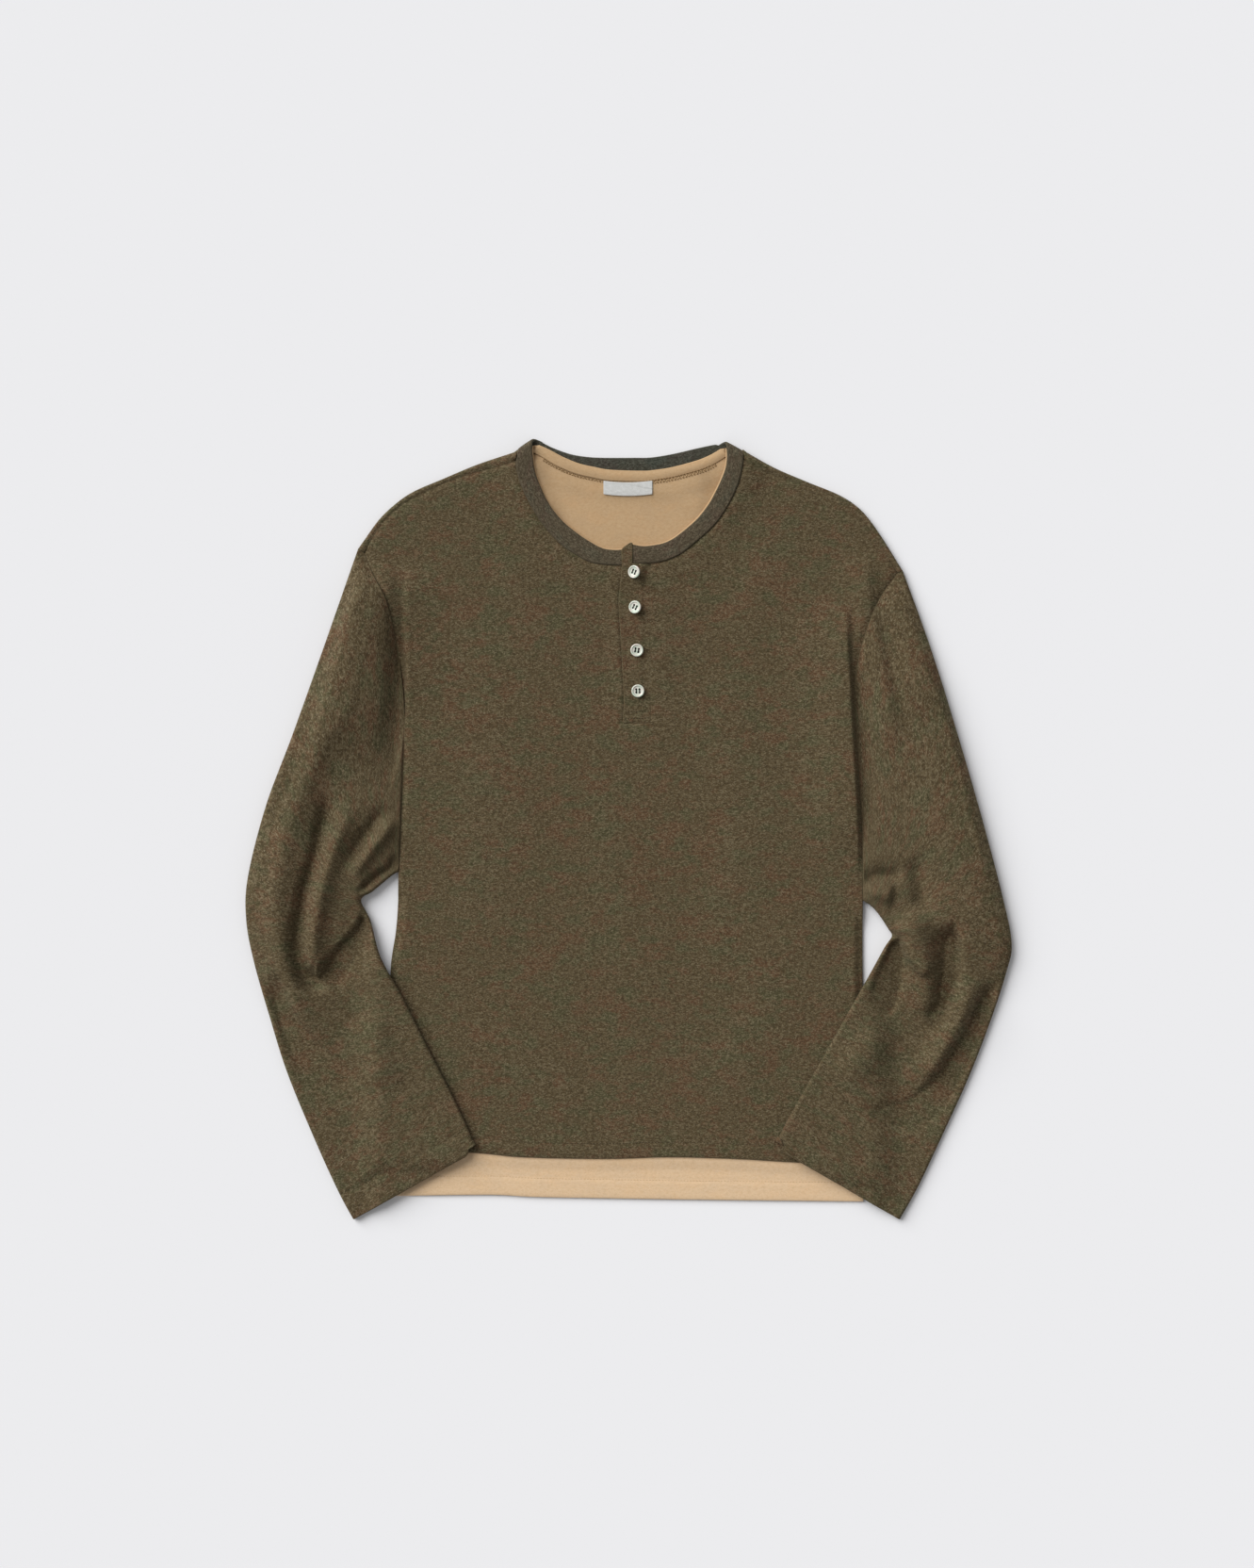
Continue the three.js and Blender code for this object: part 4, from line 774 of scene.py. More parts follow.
NO_TURN = np.zeros(2)
TURNS = [
    turn_stations(turn, BAND_BACK_HEIGHT, BAND_FRONT_HEIGHT + BAND_SHOULDER_RISE, turn_width(turn), 0)
    for turn in (TURN_RIGHT, TURN_LEFT)
]


def front_band(seam_table, free_table, turn, steps=64):
    seam = smooth_line([*seam_table[::-1], turn[0][0]], steps)
    free = smooth_line([*free_table[::-1], turn[0][1]], steps)
    return [
        (s, f, BAND_FRONT_HEIGHT + BAND_SHOULDER_RISE * band_rise(s[1]), 0, NO_TURN)
        for s, f in zip(seam[:-1], free[:-1])
    ]


FRONT_BANDS = [front_band(SEAM_RIGHT, FREE_RIGHT, TURNS[0]), front_band(SEAM_LEFT, FREE_LEFT, TURNS[1])]
BACK_STEPS = 72


def band_section(steps=6, round_share=0.5):
    """Rounded section of a band: shares of its half width and half thickness, once round."""
    corner = np.linspace(0, math.pi / 2, steps + 1)
    ends = []
    for quarter in range(4):
        sign_w = (1, -1, -1, 1)[quarter]
        sign_t = (1, 1, -1, -1)[quarter]
        turn = corner if quarter % 2 == 0 else corner[::-1]
        for angle in turn:
            ends.append((sign_w, math.cos(angle), sign_t * math.sin(angle)))
    rows = []
    flats = np.linspace(1, -1, 9)[1:-1]
    for k, (sign_w, reach, t) in enumerate(ends):
        rows.append((sign_w, reach, t))
        if k == steps or k == 3 * (steps + 1) - 1:
            direction = flats if t > 0 else flats[::-1]
            rows.extend((None, w, t) for w in direction)
    return rows


def band_mesh(stations, thickness, ring, crown=0.0):
    """Band through its stations: rounded edges of the band's own thickness and a slightly full face."""
    rows = band_section()
    loops, grain = [], []
    travelled = 0
    before = None
    for seam, free, height, angle, outward in stations:
        middle, across = (seam + free) / 2, free - seam
        width = np.linalg.norm(across)
        across = across / width
        half_width, half = width / 2, thickness / 2
        if before is not None:
            travelled += np.linalg.norm(middle - before)
        before = middle
        loop = []
        for sign_w, reach, t in rows:
            if sign_w is None:
                w = reach * (half_width - half)
                full = half * t * (1 + crown * (1 - reach**2))
            else:
                w = sign_w * (half_width - half + half * reach)
                full = half * t
            spot = middle + across * w + outward * (math.sin(angle) * full)
            loop.append((spot[0], spot[1], height + math.cos(angle) * full))
            grain.append((travelled, w, 30 * t))
        loops.append(loop)
    around = len(rows)
    points = np.array(loops).reshape(-1, 3)
    grain = np.array(grain)
    if ring:
        points = np.concatenate([points, points[:around]])
        quads = grid_quads(len(stations) + 1, around, ring=True)
        quads = np.where(quads >= len(stations) * around, quads - len(stations) * around, quads)
        points = points[:-around]
    else:
        quads = grid_quads(len(stations), around, ring=True)
        half_round = around // 2
        caps = []
        for start, flip in ((0, False), ((len(stations) - 1) * around, True)):
            for j in range(half_round - 1):
                quad = [start + k for k in (j, j + 1, around - 2 - j, around - 1 - j)]
                caps.append(quad if flip else quad[::-1])
        quads = np.concatenate([quads, caps])
    volume = np.einsum("ij,ij->", points[quads[:, 0]], np.cross(points[quads[:, 1]], points[quads[:, 2]]))
    volume += np.einsum("ij,ij->", points[quads[:, 0]], np.cross(points[quads[:, 2]], points[quads[:, 3]]))
    return points, quads if volume > 0 else quads[:, ::-1], grain


def make_neckband():
    seam = smooth_line([TURNS[0][-1][0], *BACK_SEAM, TURNS[1][-1][0]], BACK_STEPS)
    free = smooth_line([TURNS[0][-1][1], *BACK_FREE, TURNS[1][-1][1]], BACK_STEPS)
    back = [(s, f, BAND_BACK_HEIGHT, math.pi, NO_TURN) for s, f in zip(seam[1:-1], free[1:-1])]
    stations = [*FRONT_BANDS[0], *TURNS[0], *back, *TURNS[1][::-1], *FRONT_BANDS[1][::-1]]
    return make_piece("neckband_cloth", *band_mesh(stations, BAND_THICKNESS, ring=False, crown=0.15))


def inner_station(station, height):
    seam, free, _, angle, outward = station
    across = (free - seam) / np.linalg.norm(free - seam)
    edge = free + across * INNER_BAND_PEEK
    return edge - across * INNER_BAND_WIDTH, edge, height, angle, outward


INNER_FRONT_BANDS = [
    [inner_station(s, INNER_BAND_FRONT_HEIGHT + INNER_BAND_SHOULDER_RISE * band_rise(s[0][1])) for s in band]
    for band in FRONT_BANDS
]


def inner_turn(turn):
    """Tan band over a shoulder, tucked away from the olive band's free edge as it turns."""
    free = turn_width(turn) + INNER_BAND_PEEK
    front = INNER_BAND_FRONT_HEIGHT + INNER_BAND_SHOULDER_RISE
    stations = []
    for seam, edge, height, angle, outward in turn_stations(
        turn, INNER_BAND_BACK_HEIGHT, front, free, free - INNER_BAND_WIDTH,
    ):
        across = (edge - seam) / np.linalg.norm(edge - seam)
        tuck = across * INNER_TURN_TUCK * soft_step(angle, 0, 0.7 * math.pi)
        tuck = tuck + outward * INNER_TURN_DROP * soft_step(angle, 0, 1)
        stations.append((seam - tuck, edge - tuck, height, angle, outward))
    return stations


INNER_TURNS = [inner_turn(TURN_RIGHT), inner_turn(TURN_LEFT)]
INNER_BACK_FREE = smooth_line([INNER_TURNS[0][-1][1], *TAN_BACK_FREE, INNER_TURNS[1][-1][1]], BACK_STEPS)
INNER_BACK_SEAM = offset_line(INNER_BACK_FREE, -INNER_BAND_WIDTH)
for end, turn in ((0, INNER_TURNS[0]), (-1, INNER_TURNS[1])):
    # the seam eases from the turn into its own line
    slip = turn[-1][0] - INNER_BACK_SEAM[end]
    for k in range(10):
        index = k if end == 0 else -1 - k
        INNER_BACK_SEAM[index] += slip * (1 - soft_step(k, 0, 10))
TAN_NECK_SEAM = np.array(
    [INNER_TURNS[0][0][0], *[s[0] for s in INNER_FRONT_BANDS[0][::-1]], *[s[0] for s in INNER_FRONT_BANDS[1]],
     INNER_TURNS[1][0][0]]
)


def make_inner_neckband():
    back = [
        (s, f, INNER_BAND_BACK_HEIGHT, math.pi, NO_TURN)
        for s, f in zip(INNER_BACK_SEAM[1:-1], INNER_BACK_FREE[1:-1])
    ]
    stations = [
        *INNER_FRONT_BANDS[0], *INNER_TURNS[0], *back, *INNER_TURNS[1][::-1], *INNER_FRONT_BANDS[1][::-1],
    ]
    return make_piece(
        "inner_neckband_cloth", *band_mesh(stations, INNER_BAND_THICKNESS, ring=True, crown=0.5)
    )


# Tan panels

def inner_front_height(plan):
    edge = INNER_BAND_FRONT_HEIGHT - LINING - INNER_FRONT_BOTTOM
    edge = edge + INNER_BAND_SHOULDER_RISE * band_rise(plan[..., 1])
    lift = edge * (1 - soft_step(near(plan, TAN_NECK_SEAM)[0], 0, INNER_LIFT_REACH))
    above_hem = plan[..., 1] - line_height(TAN_HEM, plan[..., 0])
    return INNER_FRONT_BOTTOM + LINING + lift - tan_drop(plan) + hem_relief(above_hem, TAN_HEM_STITCH)


# Tan back beside both neck corners, written as the folds are
TAN_FOLDS = [
    (3, 9, 15, 0.05, 0.35, [(-87, 334), (-82, 312), (-74, 294), (-62, 278)]),
    (2.6, 12, 34, 0.1, 0.35, [(58, 330), (62, 310), (60, 292), (50, 276)]),
]


def inner_back_height(plan):
    lift = INNER_BACK_LIFT * (1 - soft_step(near(plan, INNER_BACK_SEAM)[0], 8, 22))
    waves = (
        0.35 * np.sin(plan[..., 0] / 31 + 0.4) * np.sin(plan[..., 1] / 23)
        * soft_step(plan[..., 1], 225, 245)
    )
    lift = lift + folds_at(plan, TAN_FOLDS)
    return INNER_BACK_BOTTOM + LINING + lift + np.maximum(waves, -0.2) - tan_drop(plan)


def make_inner_panel(name, seam, height_at):
    SPREAD_FROM = 4
    SPREAD_TO = 28
    columns = panel_columns(3, 22, 56)
    rows = np.r_[np.linspace(0, 0.08, 28), np.linspace(0.08, 0.8, 60)[1:], np.linspace(0.8, 1, 40)[1:]]
    inset = lambda point, out, seam: np.full(len(seam), float(INNER_SHOULDER_INSET))
    ends = [shoulder_end(table, 1, inset) for table in (SHOULDER_RIGHT, SHOULDER_LEFT)]
    tips = [shoulder_end(table, 0, inset) for table in (SHOULDER_RIGHT, SHOULDER_LEFT)]
    neck = smooth_line([ends[0], *seam, ends[1]], 200)

    def side(side_table, armhole, corner, tip, inward):
        line = offset_line(side_edge(side_table, armhole, tip)[:-1], inward)
        line = line[line[:, 1] < tip[1] - INNER_SHOULDER_INSET]
        line[0, 1] += SPREAD_FROM
        spread = (line[0, 0] + 0.7 * (corner[0] - line[0, 0]), corner[1] + SPREAD_TO)
        return np.concatenate([smooth_line([corner, spread, line[0]], 20), line[1:], [tip]])

    plan = panel_grid(
        smooth_line(TAN_HEM, 120),
        top_edge(columns, inset, neck),
        side(SIDE_RIGHT, ARMHOLE_RIGHT, TAN_HEM[0], tips[0], -INNER_INSET),
        side(SIDE_LEFT, ARMHOLE_LEFT, TAN_HEM[-1], tips[1], INNER_INSET),
        columns,
        rows,
    )
    points = with_height(plan, height_at(plan)).reshape(-1, 3)
    quads = grid_quads(len(rows), len(columns))
    return cloth_piece(name, points, quads, LINING, points)


# Placket, label and buttons

def placket_height(plan):
    """Upper placket: level with the front at its sewn side, over it everywhere else."""
    x, y = plan[..., 0], plan[..., 1]
    lapped = np.maximum(1 - soft_step(x, 11, 18), 1 - soft_step(y, WINDOW_BOTTOM + 4, WINDOW_BOTTOM + 18))
    level = PLACKET_RISE / (GAP + CLOTH) * (1 - soft_step(y, NECK_EDGE - 22, NECK_EDGE - 4))
    lapped = np.maximum(lapped, level)
    at_band = soft_step(y, NECK_EDGE, NECK_EDGE + 10)
    edge_curl = 0.5 * np.exp(-(((x + 8) / 3) ** 2)) * (1 - at_band)
    sunk = PLACKET_SINK * (1 - soft_step(y, WINDOW_BOTTOM, WINDOW_BOTTOM + 14))
    return front_top(plan) + (GAP + CLOTH) * lapped * (1 + 0.36 * at_band) + edge_curl - sunk


def make_placket_upper():
    table = np.array(PLACKET_ROWS, float)
    y = np.unique(np.r_[np.linspace(PLACKET_BOTTOM, PLACKET_ROWS[-1][0], 110), table[:, 0]])
    left, right = (np.interp(y, table[:, 0], table[:, k]) for k in (1, 2))
    shares = np.linspace(0, 1, 22)
    plan = np.stack(
        [left[:, None] + shares * (right - left)[:, None], np.repeat(y[:, None], 22, axis=1)], axis=-1
    )
    points = with_height(plan, placket_height(plan)).reshape(-1, 3)
    return cloth_piece("placket_upper_cloth", points, grid_quads(len(y), 22), CLOTH, points)


def make_placket_lower():
    y = np.linspace(WINDOW_BOTTOM + GAP, NECK_EDGE - 1.5, 70)
    x = np.linspace(WINDOW_LEFT + GAP, WINDOW_LEFT + GAP + LOWER_PLACKET_WIDTH, 10)
    plan = np.stack(np.meshgrid(x, y), axis=-1)
    points = with_height(plan, front_top(plan)).reshape(-1, 3)
    return cloth_piece("placket_lower_cloth", points, grid_quads(70, 10), CLOTH, points)


LABEL_LEFT = -22.5
LABEL_RIGHT = 20.8
LABEL_HEIGHT = 11.5
LABEL_BOTTOM = 300.5
LABEL_SAG = 6


def make_label():
    x = np.linspace(LABEL_LEFT, LABEL_RIGHT, 60)
    sag = ((x - (LABEL_LEFT + LABEL_RIGHT) / 2) / (LABEL_RIGHT - LABEL_LEFT)) ** 2 * LABEL_SAG
    shares = np.linspace(0, 1, 18)
    plan = np.stack([
        np.repeat(x[None], 18, axis=0), LABEL_BOTTOM + sag[None] + shares[:, None] * LABEL_HEIGHT,
    ], axis=-1)
    lift = GAP + LABEL_THICKNESS + 0.35 * (1 - shares[:, None]) ** 2
    points = with_height(plan, inner_back_height(plan) + lift).reshape(-1, 3)
    place = np.stack(
        [np.repeat(x[None], 18, axis=0), np.repeat(shares[:, None] * LABEL_HEIGHT, 60, axis=1)], axis=-1
    )
    place = with_height(place, np.zeros(place.shape[:-1])).reshape(-1, 3)
    return cloth_piece("neck_label_cloth", points, grid_quads(18, 60), LABEL_THICKNESS, place)


def lathe(profile, segments):
    """Turned solid about Z from a profile of radius and height, whose ends lie on the axis."""
    angles = np.linspace(0, 2 * math.pi, segments, endpoint=False)
    ring = np.array([(r * math.cos(a), r * math.sin(a), z) for r, z in profile[1:-1] for a in angles])
    points = np.concatenate([ring, [(0, 0, profile[0][1]), (0, 0, profile[-1][1])]])
    quads = grid_quads(len(profile) - 2, segments, ring=True).tolist()
    low, high = len(ring), len(ring) + 1
    last = (len(profile) - 3) * segments
    for j in range(0, segments, 2):
        quads.append([low, (j + 2) % segments, j + 1, j])
        quads.append([high, last + j, last + j + 1, last + (j + 2) % segments])
    return points, np.array(quads)


def cut(piece, cutters):
    """Takes solids out of a piece and clears them away."""
    for cutter in cutters:
        change = piece.modifiers.new("cut", "BOOLEAN")
        change.operation = "DIFFERENCE"
        change.solver = "EXACT"
        change.object = cutter
    bpy.context.view_layer.update()
    seen = piece.evaluated_get(bpy.context.evaluated_depsgraph_get())
    mesh = bpy.data.meshes.new_from_object(seen)
    piece.modifiers.clear()
    piece.data = mesh
    for cutter in cutters:
        bpy.data.objects.remove(cutter)


def button_points(points, index):
    """Moves a button's own places to where it lies on the placket."""
    x, y, tilt, turn = BUTTONS[index]
    lean, spin = -math.radians(tilt), math.radians(turn)
    rise = BUTTON_DIAMETER / 2 * math.sin(-lean) + BUTTON_THICKNESS / 2 * math.cos(lean)
    height = float(placket_height(np.array([x, y]))) + GAP + rise
    about_z = np.array([
        (math.cos(spin), -math.sin(spin), 0), (math.sin(spin), math.cos(spin), 0), (0, 0, 1),
    ])
    about_y = np.array([
        (math.cos(lean), 0, math.sin(lean)), (0, 1, 0), (-math.sin(lean), 0, math.cos(lean)),
    ])
    return points @ (about_y @ about_z).T + (x, y, height)


def make_button(index):
    radius, half = BUTTON_DIAMETER / 2, BUTTON_THICKNESS / 2
    table = [
        (radius * 0.8, -half), (radius * 0.9, -half * 0.9), (radius * 0.98, -half * 0.35),
        (radius, half * 0.2),
        (radius * 0.99, half * 0.65), (radius * 0.94, half * 0.92), (radius * 0.87, half),
        (radius * 0.8, half * 0.93),
        (radius * 0.72, half * 0.55), (radius * 0.62, half * 0.3), (radius * 0.3, half * 0.22),
    ]
    profile = [(0, -half), *smooth_line(table, 26).tolist(), (0, half * 0.2)]
    points, quads = lathe(profile, 64)
    piece = make_piece(f"button_{index + 1}_shell", button_points(points, index), quads)
    cutters = []
    for k in range(4):
        angle = (k + 0.5) * math.pi / 2
        reach = BUTTON_HOLE_REACH * math.sqrt(2)
        hole = [(0, -4), (BUTTON_HOLE / 2, -4), (BUTTON_HOLE / 2, 4), (0, 4)]
        hole_points, hole_quads = lathe(hole, 24)
        hole_points = hole_points + (math.cos(angle) * reach, math.sin(angle) * reach, 0)
        cutters.append(make_piece(f"hole_{k}", button_points(hole_points, index), hole_quads))
    cut(piece, cutters)
    piece.data.polygons.foreach_set("use_smooth", np.ones(len(piece.data.polygons), bool))
    piece.data.set_sharp_from_angle(angle=math.radians(50))
    return piece


def thread_mesh(runs, radius, rings=5, sides=6):
    """Short rounded threads, each from its own run of places."""
    points, quads = [], []
    base = 0
    for run in runs:
        line = along(run, np.linspace(0, 1, rings))
        tangent = np.gradient(line, axis=0)
        tangent /= np.linalg.norm(tangent, axis=1, keepdims=True)
        up = np.array([0, 0, 1.0])
        side = np.cross(tangent, up)
        side /= np.maximum(np.linalg.norm(side, axis=1, keepdims=True), 1e-9)
        rise = np.cross(side, tangent)
        reach = radius * np.array([0.55, *[1] * (rings - 2), 0.55])
        for place, s, r, w in zip(line, side, rise, reach):
            for k in range(sides):
                angle = 2 * math.pi * k / sides
                points.append(place + w * (s * math.cos(angle) + r * math.sin(angle)))
        quads.append(grid_quads(rings, sides, ring=True) + base)
        for start, flip in ((0, False), ((rings - 1) * sides, True)):
            for j in range(sides // 2 - 1):
                quad = [base + start + k for k in (j, j + 1, sides - 2 - j, sides - 1 - j)]
                quads.append(np.array([quad[::-1] if flip else quad]))
        base += rings * sides
    points, quads = np.array(points), np.concatenate(quads)
    return points, quads[:, ::-1]


def make_button_thread_and_hole_shade(index):
    """Dark thread that crosses between the holes, and dark fills in the holes: thread through them, and
    painted shade of the holes' depth.
    """
    reach = BUTTON_HOLE_REACH
    runs = []
    for side in (-1, 1):
        top = 1.3 * 0.22 + 0.25
        runs.append([
            (-reach, side * reach, -1.1), (-reach, side * reach, top - 0.15),
            (-reach * 0.5, side * reach, top - 0.05),
            (reach * 0.5, side * reach, top - 0.05), (reach, side * reach, top - 0.15),
            (reach, side * reach, -1.1),
        ])
    runs = [button_points(np.array(run), index) for run in runs]
    runs.append(button_points(np.array([(0, 0, -1.2), (0, 0.1, -2.1)]), index))
    # Dark fills that close the holes: thread through them, and painted shade of their depth
    plugs = [
        button_points(np.array([(x * reach, y * reach, -1.2), (x * reach, y * reach, 0.32)]), index)
        for x in (-1, 1) for y in (-1, 1)
    ]
    points, quads = thread_mesh(runs, 0.52, rings=16)
    plug_points, plug_quads = thread_mesh(plugs, 0.9, rings=4, sides=10)
    return make_piece(
        f"button_{index + 1}_thread", np.concatenate([points, plug_points]),
        np.concatenate([quads, plug_quads + len(points)]),
    )


# Sleeves

def seat_height(plan):
    """Height of whatever lies under a sleeve: the shirt, the tan hem alone, or the surface."""
    x, y = plan[..., 0], plan[..., 1]
    sides = from_sides(plan)
    in_shirt = np.minimum(sides, y - line_height(OLIVE_HEM, x))
    in_tan = np.minimum(sides, y - line_height(TAN_HEM, x))
    on_shirt = SEAT_ON_SHIRT * soft_step(in_shirt, -SEAT_OVERHANG - SEAT_SLOPE, -SEAT_OVERHANG)
    on_tan = SEAT_ON_TAN * soft_step(in_tan, -SEAT_OVERHANG - SEAT_SLOPE * 0.6, -SEAT_OVERHANG)
    return np.maximum(on_shirt, on_tan)


def make_sleeve(name, table, folds, armhole, tip):
    TOP_STEPS = 78
    BOTTOM_STEPS = 10
    TURN_STEPS = 7
    ROWS_PER_STATION = 30
    CUFF_CORNER = 9
    spans = len(table) - 1
    t = np.linspace(0, spans, spans * ROWS_PER_STATION + 1)
    outer = smooth_curve([row[:2] for row in table], t)
    inner = smooth_curve([row[2:4] for row in table], t)
    tube = np.interp(t, np.arange(len(table)), [row[4] for row in table])
    width = np.linalg.norm(inner - outer, axis=1)
    radius = tube / 2
    turn = 1 - np.cos(np.linspace(0, math.pi / 2, TURN_STEPS + 1))
    top_share = np.linspace(0, 1, TOP_STEPS + 1)[1:-1]
    low_share = np.linspace(0, 1, BOTTOM_STEPS + 1)[1:-1]
    flat_width = (width - 2 * radius)[:, None]
    edge = radius[:, None] * turn[None]
    over = np.concatenate([
        edge, radius[:, None] + flat_width * top_share, width[:, None] - edge[:, ::-1],
    ], axis=1)
    under = np.concatenate([
        width[:, None] - edge[:, 1:], width[:, None] - radius[:, None] - flat_width * low_share,
        edge[:, :0:-1],
    ], axis=1)
    across = np.concatenate([over, under], axis=1)
    face = np.r_[np.ones(over.shape[1]), -np.ones(under.shape[1])]
    share = across / width[:, None]
    plan = outer[:, None] + (inner - outer)[:, None] * share[..., None]
    root = offset_line(
        np.concatenate([[tip], smooth_line(armhole, 60)]), ARMHOLE_GAP * (-1 if tip[0] < 0 else 1)
    )
    arc = along(root, share.ravel()).reshape(plan.shape)
    arc -= root[0] + (root[-1] - root[0]) * share[..., None]
    bend = 1 - soft_step(t, 0, 2)
    plan = plan + arc * bend[:, None, None]
    down = (outer + inner)[-1] - (outer + inner)[-8]
    down /= np.linalg.norm(down)
    corner = soft_step(share, 0.9, 1) * soft_step(t, spans - 0.35, spans)[:, None]
    plan = plan - down * (CUFF_CORNER * corner**1.5)[..., None]
    from_edge = np.minimum(across, width[:, None] - across)
    swell = np.sqrt(np.maximum(0, 1 - (1 - clamp01(from_edge / radius[:, None])) ** 2))
    seated = soft_step(t, ELBOW_STATION - 0.5, ELBOW_STATION + 0.5)[:, None]
    seat = seated * seat_height(plan)
    rounding = soft_step(from_edge, 0, 12)
    along_sleeve = np.r_[0, np.cumsum(np.linalg.norm(np.diff((outer + inner) / 2, axis=0), axis=1))]
    from_cuff = (along_sleeve[-1] - along_sleeve)[:, None]
    relief = folds_at(plan, folds) * soft_step(t, 0, 0.6)[:, None] + folds_at(plan, ARMHOLE_FOLDS)
    relief = FOLD_DEPTH * relief * rounding * (face > 0)
    relief = relief + hem_relief(from_cuff, CUFF_STITCH) * soft_step(from_edge, 0, 3) * (face > 0)
    relief = relief + groove(along_sleeve[:, None], 1.5, 3.4) * (face > 0) * soft_step(from_edge, 0, 4)
    middle = seat + radius[:, None]
    height = middle + face * radius[:, None] * swell
    deepest = seat + np.minimum(2 * radius[:, None], LOWEST_FOLD)
    height = np.where(face > 0, np.maximum(height + relief, np.minimum(height, deepest)), height)
    height = np.where(height > FOLD_TOP, FOLD_TOP + 1.5 * np.tanh((height - FOLD_TOP) / 6), height)
    points = with_height(plan, height).reshape(-1, 3)
    place = np.stack([
        np.where(face > 0, across, 2 * width[:, None] - across) - width[:, None] / 2,
        np.repeat(along_sleeve[:, None], across.shape[1], axis=1), np.zeros_like(across) + 5,
    ], axis=-1).reshape(-1, 3)
    quads = grid_quads(len(t), across.shape[1], ring=True)
    if np.sign(tip[0]) > 0:
        quads = quads[:, ::-1]
    top = points[quads].mean(axis=1)
    lift = np.cross(
        points[quads[:, 2]] - points[quads[:, 0]], points[quads[:, 3]] - points[quads[:, 1]]
    )[:, 2]
    facing = lift[(top[:, 2] > np.median(top[:, 2]))]
    if np.mean(facing) < 0:
        quads = quads[:, ::-1]
    return cloth_piece(name, points, quads, CLOTH, place)


# Finishes

def srgb(red, green, blue, alpha=1.0):
    """Colour of a photo's 0 to 255 values, as the shaders want it."""
    linear = [
        c / 12.92 if c <= 0.04045 else ((c + 0.055) / 1.055) ** 2.4
        for c in (red / 255, green / 255, blue / 255)
    ]
    return (*linear, alpha)


def add_node(tree, kind, values=None, **settings):
    node = tree.nodes.new(kind)
    for key, value in settings.items():
        setattr(node, key, value)
    for key, value in (values or {}).items():
        if isinstance(value, bpy.types.NodeSocket):
            tree.links.new(value, node.inputs[key])
        else:
            node.inputs[key].default_value = value
    return node


def math_node(tree, operation, first, second=None, clamp=False):
    values = {0: first}
    if second is not None:
        values[1] = second
    return add_node(tree, "ShaderNodeMath", values, operation=operation, use_clamp=clamp).outputs[0]


def mix_colour(tree, factor, first, second, blend="MIX"):
    node = add_node(tree, "ShaderNodeMix", data_type="RGBA", blend_type=blend)
    for index, value in ((0, factor), (6, first), (7, second)):
        if isinstance(value, bpy.types.NodeSocket):
            tree.links.new(value, node.inputs[index])
        else:
            node.inputs[index].default_value = value
    return node.outputs[2]


def tint(tree, mask, strength, base, over):
    """Lays one colour over another by a mask and a strength."""
    return mix_colour(tree, math_node(tree, "MULTIPLY", mask, strength), base, over)


def stretched_noise(tree, place, stretch, detail=2.0, roughness=0.55, turn=0.0, shift=0.0):
    """Noise over the cloth with its own stretch along both grains, in marks per metre."""
    mapped = add_node(
        tree, "ShaderNodeMapping",
        {
            "Vector": place, "Location": (shift, shift * 0.7, shift),
            "Rotation": (0, 0, turn), "Scale": stretch,
        },
    ).outputs[0]
    return add_node(
        tree, "ShaderNodeTexNoise",
        {"Vector": mapped, "Scale": 1.0, "Detail": detail, "Roughness": roughness},
    ).outputs[0]


def spread(tree, value, low, high):
    """Stretches a value's range from low..high to 0..1."""
    return add_node(
        tree, "ShaderNodeMapRange", {"Value": value, "From Min": low, "From Max": high}, clamp=True,
    ).outputs[0]


def new_group(name, inputs, outputs):
    tree = bpy.data.node_groups.new(name, "ShaderNodeTree")
    for label, kind, value in inputs:
        socket = tree.interface.new_socket(label, in_out="INPUT", socket_type=kind)
        if value is not None:
            socket.default_value = value
    for label, kind in outputs:
        tree.interface.new_socket(label, in_out="OUTPUT", socket_type=kind)
    return tree, tree.nodes.new("NodeGroupInput").outputs, tree.nodes.new("NodeGroupOutput").inputs


